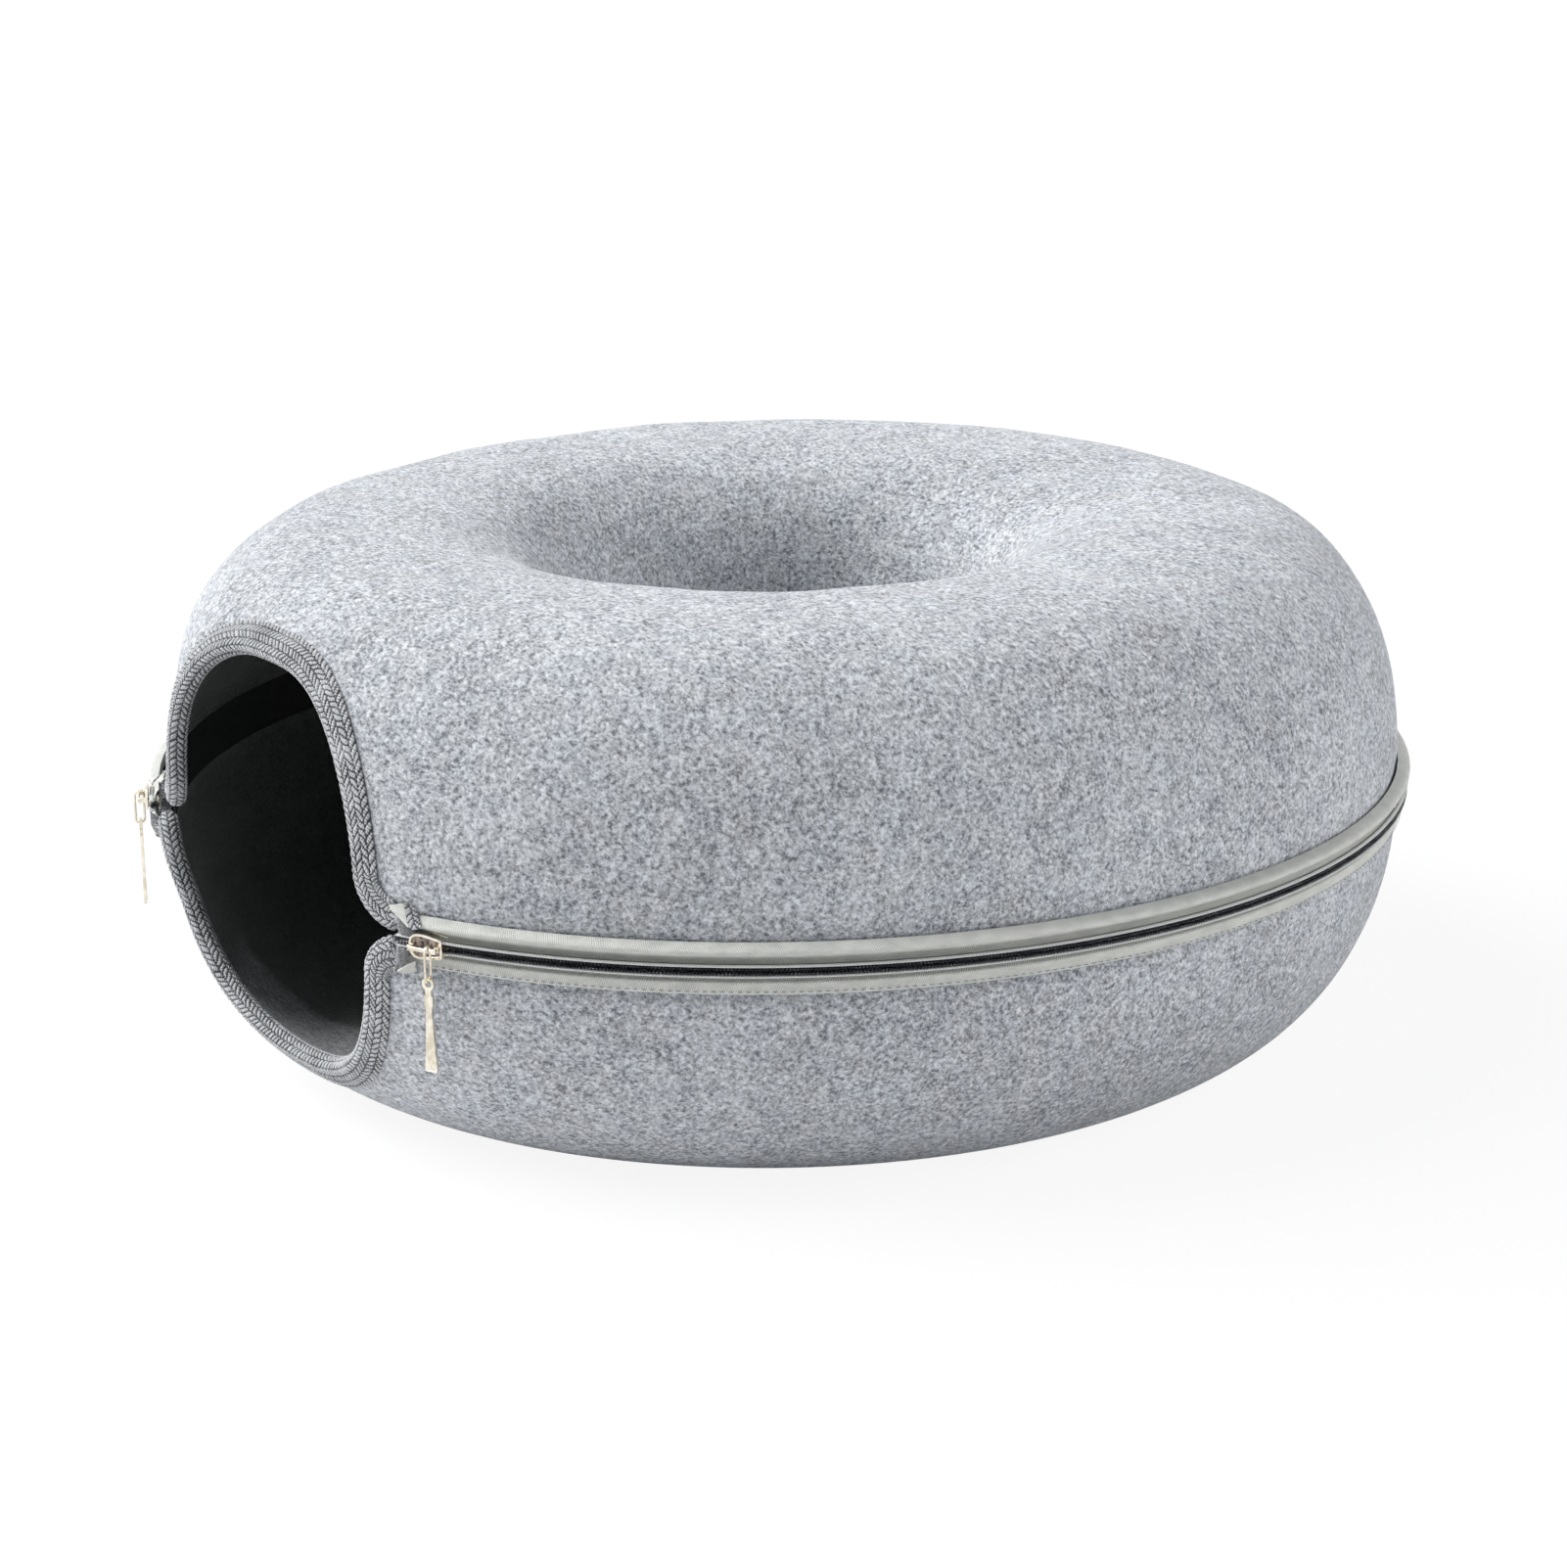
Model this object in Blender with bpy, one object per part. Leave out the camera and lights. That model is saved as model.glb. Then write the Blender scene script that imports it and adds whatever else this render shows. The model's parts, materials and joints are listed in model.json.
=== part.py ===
"""A donut-shaped felt tunnel for a cat, built as an assembly of its separate pieces.

Two moulded felt half rings meet on a level line. A zip with two sliders joins them round
the outside, and a strip of touch fastener joins them round the hole in the middle. The
cat goes in by a round entry in the outer wall, whose cut edges are bound with twill tape.

Lengths are in metres, +Z is up and the entry faces -Y. The origin is on the floor, in the
middle of the ring's outer box.
"""

import math

import bmesh
import bpy
from mathutils import Matrix, Vector

# The felt ring
FELT_RADIUS = 0.2465
CROWN_RADIUS = 0.163
WAIST_RADIUS = 0.080
UPPER_RISE = 0.105
LOWER_DROP = 0.098
FELT_THICKNESS = 0.004
ZIP_RIM_GAP = 0.0025
WAIST_RIM_GAP = 0.0003
FOOT_SINK = 0.0030
UPPER_OUTSIDE_FULLNESS = 2.55
UPPER_HOLE_FULLNESS = 3.3
LOWER_OUTSIDE_FULLNESS = 2.15
LOWER_HOLE_FULLNESS = 2.4
RING_STEPS = 60
OUTSIDE_STEPS = 8
HOLE_STEPS = 6

# The round entry in the outer wall, to the cut edge of the felt
UPPER_ENTRY_HALF_WIDTH = 0.0803
LOWER_ENTRY_HALF_WIDTH = 0.0833
ENTRY_RISE = 0.0823
ENTRY_DROP = 0.0738
ENTRY_FULLNESS = 2.5
UPPER_CORNER_RADIUS = 0.020
LOWER_CORNER_RADIUS = 0.016
CORNER_SWEEP = math.radians(80)
CORNER_STEPS = 5
ARCH_STEPS = 28
CUT_OVERRUN = 0.012

# The twill tape folded over the entry's edge
BINDING_THICKNESS = 0.0011
BINDING_OUTER_LEG = 0.011
BINDING_INNER_LEG = 0.009
BINDING_GAP = 0.0004
BINDING_INNER_GAP = 0.0010
BINDING_ROUNDING_SHARE = 0.6
STITCH_INSET = 0.0016
THREAD_WIDTH = 0.0006
THREAD_GAP = 0.0003

# The zip: coil, the thread that holds the coil, and the woven tape
COIL_DEPTH = 0.0022
COIL_WIDTH = 0.0009
COIL_PART_GAP = 0.0012
COIL_THREAD_WIDTH = 0.0009
COIL_THREAD_DEPTH = 0.0016
CHAIN_GAP = 0.0003
TAPE_THICKNESS = 0.0007
TAPE_UPRIGHT = 0.0021
TAPE_SLOPE = 0.0026
TAPE_LAP = 0.0026
TAPE_ROLL_BULGE = 0.0012
TAPE_ROLL_SLOPE = 0.0015
TAPE_GAP = 0.0005
ZIP_START = 0.1010
ZIP_STEP = math.radians(5)
UPPER_FLAP_RISE = 0.0060
LOWER_FLAP_RISE = 0.0025
FLAP_REACH = 0.0090
FLAP_STEPS = 3
FACING_WIDTH = 0.0072
FACING_THICKNESS = 0.0007
FACING_GAP = 0.0007

# The touch fastener round the hole, on the tunnel side of the wall
STRIP_HEIGHT = 0.014
STRIP_THICKNESS = 0.0010
STRIP_GAP = 0.0005
STRIP_EDGE = 0.0015

# The two sliders
SLIDER_CLEARANCE = 0.0005
SLIDER_SPACING = 0.1143
PLATE_THICKNESS = 0.0011
SLIDER_LENGTH = 0.0140
HEAD_HALF_WIDTH = 0.0045
TAIL_HALF_WIDTH = 0.0036
NOSE_HALF_WIDTH = 0.0022
POST_THICKNESS = 0.0006
POST_LENGTH = 0.0030
LIP_THICKNESS = 0.00065
LIP_LENGTH = 0.0090
LUG_LENGTH = 0.0014
LUG_WIDTH = 0.0020
LUG_HEIGHT = 0.0009
LUG_SPACING = 0.0102
JOIN_OVERLAP = 0.0003
CROWN_THICKNESS = 0.0010
CROWN_WIDTH = 0.0015
CROWN_LENGTH = 0.0118
SEAT_GAP = 0.0003
PULL_SHIFT = 0.0028

# The pull: a wire ring through the crown and a long tab that flares
RING_WIRE = 0.0010
RING_BEND_RADIUS = 0.00175
RING_LEG = 0.0095
RING_BEND_STEPS = 8
TAB_THICKNESS = 0.0012
TAB_EYE_RADIUS = 0.0013
TAB_HEAD_RADIUS = 0.0025
TAB_NECK_HALF_WIDTH = 0.0012
TAB_COLLAR_HALF_WIDTH = 0.0017
TAB_END_HALF_WIDTH = 0.0026
TAB_LENGTH = 0.0328
TAB_NECK_START = 0.0040
TAB_COLLAR_END = 0.0080
TAB_NECK_END = 0.0095
TAB_CORNER = 0.0004
EYE_STEPS = 10

# Points closer together than this are one point
SAME_POINT = 0.0000001

# What follows from the sizes above
ZIP_LEVEL = LOWER_DROP
PLATE_OFFSET = COIL_DEPTH / 2 + SLIDER_CLEARANCE
CHAIN_RADIUS = FELT_RADIUS + SLIDER_CLEARANCE + PLATE_THICKNESS + PLATE_OFFSET
PLATE_FACE = PLATE_OFFSET + PLATE_THICKNESS
PULL_AXIS = PLATE_FACE + RING_BEND_RADIUS + RING_WIRE / 2 + SLIDER_CLEARANCE
RING_DROP = RING_BEND_RADIUS - RING_WIRE / 2 - CROWN_WIDTH / 2 - SEAT_GAP
TAB_DROP = TAB_EYE_RADIUS - RING_WIRE / 2 - SEAT_GAP
BINDING_EDGE = BINDING_GAP + BINDING_THICKNESS
FRONT_REACH = (FELT_RADIUS + BINDING_EDGE) * math.cos(UPPER_ENTRY_HALF_WIDTH / FELT_RADIUS)
BACK_REACH = CHAIN_RADIUS + TAPE_ROLL_BULGE + TAPE_THICKNESS / 2
RING_Y = (FRONT_REACH - BACK_REACH) / 2
TAPE_EDGE = COIL_PART_GAP / 2 + COIL_WIDTH + COIL_THREAD_WIDTH + 2 * CHAIN_GAP
TAPE_END = TAPE_EDGE + TAPE_UPRIGHT + TAPE_SLOPE + TAPE_LAP

FELT_GREY = (0.42, 0.44, 0.47)
BINDING_GREY = (0.27, 0.28, 0.29)
TAPE_GREY = (0.46, 0.47, 0.45)
COIL_BLACK = (0.012, 0.014, 0.016)
THREAD_GREY = (0.55, 0.57, 0.58)
STITCH_GREY = (0.24, 0.245, 0.255)
FACING_BLACK = (0.02, 0.02, 0.02)
PLATING = (0.83, 0.78, 0.66)


class Half:
    """One felt half ring: where its wall runs, on the outside and on the hole's side."""

    def __init__(self, name, up, height, outside_fullness, hole_fullness, sink, entry):
        self.name = name
        self.up = up
        self.height = height
        self.outside_fullness = outside_fullness
        self.hole_fullness = hole_fullness
        self.sink = sink
        self.entry = entry

    def quarter(self, reach, rim, fullness, inset, steps):
        """Distance from the crown's radius and height above the zip line, from rim to crown."""
        rise = self.height + self.sink - rim - inset
        points = []
        for i in range(steps + 1):
            t = math.pi / 2 * i / steps
            across = max(math.cos(t), 0) ** (2 / fullness) * reach
            along = rim + math.sin(t) ** (2 / fullness) * rise
            points.append((across, min(along, self.height - inset)))
        return points

    def outside(self, inset):
        """Outer wall as (radius, height above the zip line), from the zip up to the crown."""
        reach = FELT_RADIUS - CROWN_RADIUS - inset
        wall = self.quarter(reach, ZIP_RIM_GAP, self.outside_fullness, inset, OUTSIDE_STEPS)
        return [(CROWN_RADIUS + across, along) for across, along in wall]

    def hole(self, inset, steps):
        """Wall of the hole as (radius, height above the zip line), from its rim up to the crown."""
        reach = CROWN_RADIUS - WAIST_RADIUS - inset
        wall = self.quarter(reach, WAIST_RIM_GAP, self.hole_fullness, inset, steps)
        return [(CROWN_RADIUS - across, along) for across, along in wall]


UPPER_ENTRY = (UPPER_ENTRY_HALF_WIDTH, ENTRY_RISE, UPPER_CORNER_RADIUS)
LOWER_ENTRY = (LOWER_ENTRY_HALF_WIDTH, ENTRY_DROP, LOWER_CORNER_RADIUS)
UPPER = Half("upper", 1, UPPER_RISE, UPPER_OUTSIDE_FULLNESS, UPPER_HOLE_FULLNESS, 0, UPPER_ENTRY)
LOWER = Half("lower", -1, LOWER_DROP, LOWER_OUTSIDE_FULLNESS, LOWER_HOLE_FULLNESS, FOOT_SINK, LOWER_ENTRY)


def at(radius, angle, height):
    """A point of the ring: angle 0 is the entry's middle, height is above the zip line."""
    return Vector((
        radius * math.sin(angle),
        RING_Y - radius * math.cos(angle),
        ZIP_LEVEL + height,
    ))


def between(table, value, column):
    """Reads a row of the table by linear interpolation on one of its columns, which rises."""
    for low, high in zip(table, table[1:]):
        if value <= high[column]:
            break
    share = (value - low[column]) / max(high[column] - low[column], SAME_POINT)
    return [a + (b - a) * share for a, b in zip(low, high)]


def skin_radius(half, height):
    """Radius of the felt's outside at a height above the zip line."""
    return between(half.outside(0), height, 1)[0]


def lining_radius(half, height):
    """Radius of the outer wall's tunnel side at a height above the zip line."""
    return between(half.outside(FELT_THICKNESS), height, 1)[0]


def waist_radius(half, height):
    """Radius of the hole wall's tunnel side at a height above the zip line."""
    return between(half.hole(FELT_THICKNESS, HOLE_STEPS - 1), height, 1)[0]


def wall_table(half):
    """Rows of (distance along the wall, radius, height, normal's radius part, height part)."""
    wall = half.outside(0)
    slopes = [Vector(b) - Vector(a) for a, b in zip(wall, wall[1:])]
    rows = []
    along = 0.0
    for i, (radius, height) in enumerate(wall):
        slope = slopes[max(i - 1, 0)].normalized() + slopes[min(i, len(slopes) - 1)].normalized()
        slope.normalize()
        rows.append((along, radius, height, slope.y, -slope.x))
        if i < len(slopes):
            along += slopes[i].length
    return rows


def new_object(name, mesh_or_curve, colour, metallic, roughness):
    """Links a new object with a material of its own."""
    material = bpy.data.materials.new(name)
    material.use_nodes = True
    shader = material.node_tree.nodes["Principled BSDF"]
    shader.inputs["Base Color"].default_value = (*colour, 1)
    shader.inputs["Metallic"].default_value = metallic
    shader.inputs["Roughness"].default_value = roughness
    mesh_or_curve.materials.append(material)
    thing = bpy.data.objects.new(name, mesh_or_curve)
    bpy.context.scene.collection.objects.link(thing)
    return thing


def mesh_object(name, bm, colour, metallic=0, roughness=0.95, smooth_angle=math.radians(35)):
    """Makes an object of a bmesh, with its faces pointing out and round parts shaded smooth."""
    bmesh.ops.remove_doubles(bm, verts=bm.verts, dist=SAME_POINT)
    bmesh.ops.recalc_face_normals(bm, faces=bm.faces)
    mesh = bpy.data.meshes.new(name)
    bm.to_mesh(mesh)
    bm.free()
    mesh.shade_smooth()
    mesh.set_sharp_from_angle(angle=smooth_angle)
    return new_object(name, mesh, colour, metallic, roughness)


def loop_of(bm, points):
    """A closed loop of edges through the points."""
    verts = [bm.verts.new(p) for p in points]
    return [bm.edges.new((a, b)) for a, b in zip(verts, verts[1:] + verts[:1])]


def sweep(stations, closed=False):
    """A skin through loops of points, by extruding the first loop from station to station."""
    bm = bmesh.new()
    first = loop_of(bm, stations[0])
    first_verts = [e.verts[0] for e in first]
    verts = list(bm.verts)
    edges = first
    for points in stations[1:]:
        made = bmesh.ops.extrude_edge_only(bm, edges=edges)["geom"]
        edges = [g for g in made if isinstance(g, bmesh.types.BMEdge)]
        fresh = {tuple(v.co): v for v in made if isinstance(v, bmesh.types.BMVert)}
        verts = [fresh[tuple(v.co)] for v in verts]
        for vert, point in zip(verts, points):
            vert.co = point
    if closed:
        for vert, start in zip(verts, first_verts):
            vert.co = start.co
    else:
        bmesh.ops.edgeloop_fill(bm, edges=first)
        bmesh.ops.edgeloop_fill(bm, edges=edges)
    return bm


def spin_ring(profile, steps=RING_STEPS):
    """A whole ring turned from a profile of (radius, height above the zip line)."""
    bm = bmesh.new()
    edges = loop_of(bm, [at(radius, 0, height) for radius, height in profile])
    axis_point = Vector((0, RING_Y, ZIP_LEVEL))
    bmesh.ops.spin(
        bm, geom=list(bm.verts) + edges, cent=axis_point, axis=(0, 0, 1),
        angle=2 * math.pi, steps=steps, use_merge=True,
    )
    return bm


def zip_angles():
    """Angles round the ring from the zip's right end to its left end."""
    start = ZIP_START / FELT_RADIUS
    steps = round((2 * math.pi - 2 * start) / ZIP_STEP)
    return [start + (2 * math.pi - 2 * start) * i / steps for i in range(steps + 1)]


def zip_band(name, half, profile, colour, roughness=0.9):
    """A band that follows the zip from end to end, from a profile of (radius, distance from the line)."""
    stations = [[at(r, a, half.up * z) for r, z in profile] for a in zip_angles()]
    return mesh_object(name, sweep(stations), colour, roughness=roughness)


def box(bm, low, high):
    """Adds a box between two corners."""
    made = bmesh.ops.create_cube(bm, size=1)["verts"]
    low, high = Vector(low), Vector(high)
    bmesh.ops.scale(bm, verts=made, vec=high - low)
    bmesh.ops.translate(bm, verts=made, vec=(low + high) / 2)


def extruded(outline, start, depth):
    """A plate in the XZ plane from an outline of (x, z), from y = start, depth thick."""
    bm = bmesh.new()
    face = bm.faces.new([bm.verts.new((x, start, z)) for x, z in outline])
    made = bmesh.ops.extrude_face_region(bm, geom=[face])["geom"]
    moved = [v for v in made if isinstance(v, bmesh.types.BMVert)]
    bmesh.ops.translate(bm, verts=moved, vec=(0, depth, 0))
    return bm


def tool_object(name, bm):
    """A cutter or a shape to be joined: not part of the model."""
    tool = mesh_object(name, bm, FELT_GREY)
    tool.hide_render = True
    tool.display_type = "WIRE"
    return tool


def boolean(target, tool, operation):
    """Adds a Boolean modifier."""
    step = target.modifiers.new(tool.name, "BOOLEAN")
    step.operation = operation
    step.object = tool
    step.solver = "EXACT"


def entry_path(half):
    """The felt's cut edge as (distance round the ring, distance from the zip line), right to left."""
    half_width, rise, corner = half.entry
    start = ((ZIP_RIM_GAP + corner) / rise) ** (ENTRY_FULLNESS / 2)
    first = math.asin(start)
    foot = math.cos(first) ** (2 / ENTRY_FULLNESS) * half_width
    path = []
    for i in range(CORNER_STEPS):
        turn = CORNER_SWEEP * (1 - i / CORNER_STEPS)
        path.append((
            foot + corner - math.cos(turn) * corner,
            ZIP_RIM_GAP + corner - math.sin(turn) * corner,
        ))
    for i in range(ARCH_STEPS // 2 + 1):
        t = first + (math.pi / 2 - first) * i / (ARCH_STEPS // 2)
        path.append((
            max(math.cos(t), 0) ** (2 / ENTRY_FULLNESS) * half_width,
            math.sin(t) ** (2 / ENTRY_FULLNESS) * rise,
        ))
    return path + [(-x, z) for x, z in reversed(path[:-1])]


def edge_frames(half):
    """Along the entry's edge: (angle, distance along the wall, away-from-entry direction)."""
    table = wall_table(half)
    places = []
    for x, z in entry_path(half):
        along, radius = between(table, z, 2)[:2]
        places.append((x / FELT_RADIUS, along, radius))
    frames = []
    for i, (angle, along, radius) in enumerate(places):
        before, after = places[max(i - 1, 0)], places[min(i + 1, len(places) - 1)]
        run = Vector(((after[0] - before[0]) * radius, after[1] - before[1])).normalized()
        frames.append((angle, along, radius, Vector((run.y, -run.x))))
    return frames


def on_wall(half, table, frame, away, proud):
    """The point that lies some way from the entry's edge along the felt, and some way above it."""
    angle, along, radius, outward = frame
    _, r, z, normal_r, normal_z = between(table, along + outward.y * away, 0)
    return at(
        r + normal_r * proud,
        angle + outward.x * away / radius,
        half.up * (z + normal_z * proud),
    )


def entry_cutter(half):
    """A plug with sides square to the felt, that cuts the entry's share from a half ring."""
    table = wall_table(half)
    frames = edge_frames(half)
    outer = [on_wall(half, table, f, 0, CUT_OVERRUN) for f in frames]
    inner = [on_wall(half, table, f, 0, -FELT_THICKNESS - CUT_OVERRUN) for f in frames]
    loops = []
    for ring in (inner, outer):
        below = [p.copy() for p in (ring[-1], ring[0])]
        for p in below:
            p.z = ZIP_LEVEL - half.up * CUT_OVERRUN
        loops.append(ring + below)
    inner_plane = RING_Y - CROWN_RADIUS
    outer_plane = RING_Y - FELT_RADIUS - 2 * CUT_OVERRUN
    far = [Vector((p.x, outer_plane, p.z)) for p in loops[1]]
    near = [Vector((p.x, inner_plane, p.z)) for p in loops[0]]
    return tool_object(half.name + "_entry_cutter", sweep([near, loops[0], loops[1], far]))


def felt_shell(half):
    """The moulded felt half ring, with its share of the round entry cut out."""
    skin = half.outside(0) + half.hole(0, HOLE_STEPS)[-2::-1]
    lining = half.outside(FELT_THICKNESS) + half.hole(FELT_THICKNESS, HOLE_STEPS - 1)[-2::-1]
    profile = [(r, half.up * z) for r, z in skin + lining[::-1]]
    shell = mesh_object(half.name + "_felt_shell", spin_ring(profile), FELT_GREY)
    boolean(shell, entry_cutter(half), "DIFFERENCE")


def entry_binding(half):
    """Twill tape folded over the felt's cut edge, and the thread that sews it down."""
    table = wall_table(half)
    outer, inner = BINDING_OUTER_LEG, BINDING_INNER_LEG
    top = BINDING_GAP + BINDING_THICKNESS
    under = -FELT_THICKNESS - BINDING_INNER_GAP
    bottom = under - BINDING_THICKNESS
    soft = BINDING_THICKNESS * BINDING_ROUNDING_SHARE
    section = [
        (outer, BINDING_GAP), (outer / 2, BINDING_GAP), (-BINDING_GAP, BINDING_GAP),
        (-BINDING_GAP, under), (inner, under), (inner, bottom), (soft - BINDING_EDGE, bottom),
        (-BINDING_EDGE, bottom + soft), (-BINDING_EDGE, top - soft), (soft - BINDING_EDGE, top),
        (outer / 2, top), (outer, top),
    ]
    frames = edge_frames(half)
    stations = [[on_wall(half, table, f, a, p) for a, p in section] for f in frames]
    mesh_object(half.name + "_entry_binding", sweep(stations), BINDING_GREY)

    row = outer - STITCH_INSET
    seat = top + THREAD_GAP
    thread = [
        (row - THREAD_WIDTH / 2, seat),
        (row + THREAD_WIDTH / 2, seat),
        (row, seat + THREAD_WIDTH),
    ]
    stations = [[on_wall(half, table, f, a, p) for a, p in thread] for f in frames]
    mesh_object(half.name + "_binding_stitching", sweep(stations), STITCH_GREY)


def zip_tape(half):
    """Woven tape: upright beside the coil, then back to the felt, with its ends turned away.

    The upper tape bulges in a roll over its own seam, and the lower one lies flat on the felt.
    """
    half_thick = TAPE_THICKNESS / 2
    seated = TAPE_GAP + half_thick
    upright_end = TAPE_EDGE + TAPE_UPRIGHT
    if half.up > 0:
        crest = CHAIN_RADIUS + TAPE_ROLL_BULGE
        edges = [TAPE_EDGE, upright_end, upright_end + TAPE_ROLL_SLOPE, TAPE_END - TAPE_ROLL_SLOPE, TAPE_END]
        middle = [CHAIN_RADIUS, CHAIN_RADIUS, crest, crest, skin_radius(half, TAPE_END) + seated]
    else:
        edges = [TAPE_EDGE, upright_end, TAPE_END - TAPE_LAP, TAPE_END]
        lapped = [skin_radius(half, z) + seated for z in edges[2:]]
        middle = [CHAIN_RADIUS, CHAIN_RADIUS, *lapped]
    flat = [CHAIN_RADIUS] * len(edges)
    flap_rise = UPPER_FLAP_RISE if half.up > 0 else LOWER_FLAP_RISE

    def section(angle, radii, lift):
        outer = [at(r + half_thick, angle, half.up * (z + lift)) for r, z in zip(radii, edges)]
        inner = [at(r - half_thick, angle, half.up * (z + lift)) for r, z in zip(radii, edges)]
        return outer + inner[::-1]

    angles = zip_angles()
    flaps = []
    for i in range(FLAP_STEPS):
        share = (i + 1) / FLAP_STEPS
        flaps.append((share * FLAP_REACH / FELT_RADIUS, share * share * flap_rise))
    stations = [section(angles[0] - back, flat, lift) for back, lift in reversed(flaps)]
    stations += [section(a, middle, 0) for a in angles]
    stations += [section(angles[-1] + back, flat, lift) for back, lift in flaps]
    mesh_object(half.name + "_zip_tape", sweep(stations), TAPE_GREY, roughness=0.6)


def zip_chain(half):
    """Half of the zip's coil, the thread beside it, the tape's seam and the facing inside."""
    coil_low = COIL_PART_GAP / 2
    coil_high = coil_low + COIL_WIDTH
    outer, inner = CHAIN_RADIUS + COIL_DEPTH / 2, CHAIN_RADIUS - COIL_DEPTH / 2
    coil = [(outer, coil_low), (outer, coil_high), (inner, coil_high), (inner, coil_low)]
    zip_band(half.name + "_zip_coil", half, coil, COIL_BLACK, roughness=0.35)

    bead_low = coil_high + CHAIN_GAP
    bead = [
        (CHAIN_RADIUS + COIL_THREAD_DEPTH / 2, bead_low + COIL_THREAD_WIDTH / 2),
        (CHAIN_RADIUS - COIL_THREAD_DEPTH / 2, bead_low + COIL_THREAD_WIDTH),
        (CHAIN_RADIUS - COIL_THREAD_DEPTH / 2, bead_low),
    ]
    zip_band(half.name + "_coil_thread", half, bead, THREAD_GREY)

    row = TAPE_END - STITCH_INSET
    seat = skin_radius(half, row) + THREAD_GAP
    if half.up < 0:
        seat += TAPE_GAP + TAPE_THICKNESS
    seam = [(seat, row - THREAD_WIDTH / 2), (seat, row + THREAD_WIDTH / 2), (seat + THREAD_WIDTH, row)]
    zip_band(half.name + "_tape_stitching", half, seam, STITCH_GREY)

    rim, top = ZIP_RIM_GAP, ZIP_RIM_GAP + FACING_WIDTH
    rim_face = lining_radius(half, rim) - FACING_GAP
    top_face = lining_radius(half, top) - FACING_GAP
    facing = [
        (rim_face, rim), (top_face, top),
        (top_face - FACING_THICKNESS, top), (rim_face - FACING_THICKNESS, rim),
    ]
    zip_band(half.name + "_zip_facing", half, facing, FACING_BLACK)


def waist_strips():
    """Touch fastener round the hole: hooks on the lower half, loops on the upper that lap over them."""
    low = waist_radius(LOWER, STRIP_EDGE) + STRIP_GAP
    deep = waist_radius(LOWER, STRIP_HEIGHT) + STRIP_GAP
    hooks = [
        (low + STRIP_THICKNESS, -STRIP_EDGE), (deep + STRIP_THICKNESS, -STRIP_HEIGHT),
        (deep, -STRIP_HEIGHT), (low, -STRIP_EDGE),
    ]
    mesh_object("lower_hook_strip", spin_ring(hooks), FACING_BLACK)
    high = waist_radius(UPPER, STRIP_HEIGHT) + STRIP_GAP
    step = STRIP_THICKNESS + STRIP_GAP
    loops = [
        (high, STRIP_HEIGHT), (high + STRIP_THICKNESS, STRIP_HEIGHT),
        (low + STRIP_THICKNESS, STRIP_EDGE + STRIP_THICKNESS),
        (low + step + STRIP_THICKNESS, STRIP_EDGE - STRIP_THICKNESS),
        (deep + step + STRIP_THICKNESS, -STRIP_HEIGHT), (deep + step, -STRIP_HEIGHT),
        (low + step, 0), (low, STRIP_EDGE),
    ]
    mesh_object("upper_loop_strip", spin_ring(loops), FACING_BLACK)


def slider_body(name, side):
    """Two plates joined by a post at the head, with lips along the lower edge, and lugs for the crown."""
    half_length = SLIDER_LENGTH / 2
    shoulder = half_length - HEAD_HALF_WIDTH + NOSE_HALF_WIDTH
    right = [
        (-half_length, NOSE_HALF_WIDTH), (-shoulder, HEAD_HALF_WIDTH), (0, HEAD_HALF_WIDTH),
        (half_length - LUG_LENGTH, TAIL_HALF_WIDTH), (half_length, TAIL_HALF_WIDTH - LIP_THICKNESS),
    ]
    outline = [(side * x, z) for x, z in right] + [(side * x, -z) for x, z in reversed(right)]
    plate = extruded(outline, -PLATE_OFFSET, -PLATE_THICKNESS)
    body = mesh_object(name, plate, PLATING, metallic=1, roughness=0.25)

    back = tool_object(name + "_back_plate", extruded(outline, PLATE_OFFSET, PLATE_THICKNESS))
    post = bmesh.new()
    reach = PLATE_OFFSET + JOIN_OVERLAP
    post_from, post_to = LUG_LENGTH / 2 - half_length, LUG_LENGTH / 2 - half_length + POST_LENGTH
    box(post, (post_from, -reach, -POST_THICKNESS / 2), (post_to, reach, POST_THICKNESS / 2))
    bmesh.ops.scale(post, verts=post.verts, vec=(side, 1, 1))
    post = tool_object(name + "_post", post)

    tape_room = TAPE_THICKNESS / 2 + SLIDER_CLEARANCE
    lip_from = half_length - LUG_LENGTH - LIP_LENGTH
    tools = [back, post]
    for out in (-1, 1):
        lip = bmesh.new()
        box(
            lip,
            (lip_from, tape_room, -TAIL_HALF_WIDTH),
            (lip_from + LIP_LENGTH, reach, LIP_THICKNESS - TAIL_HALF_WIDTH),
        )
        bmesh.ops.scale(lip, verts=lip.verts, vec=(side, out, 1))
        tools.append(tool_object(f"{name}_lip_{out}", lip))
    for end in (-1, 1):
        lug = bmesh.new()
        middle = end * LUG_SPACING / 2
        box(
            lug,
            (middle - LUG_LENGTH / 2, -PLATE_FACE - LUG_HEIGHT, -LUG_WIDTH / 2),
            (middle + LUG_LENGTH / 2, JOIN_OVERLAP - PLATE_FACE, LUG_WIDTH / 2),
        )
        tools.append(tool_object(f"{name}_lug_{end}", lug))
    for tool in tools:
        boolean(body, tool, "UNION")
    return body, tools


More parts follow.
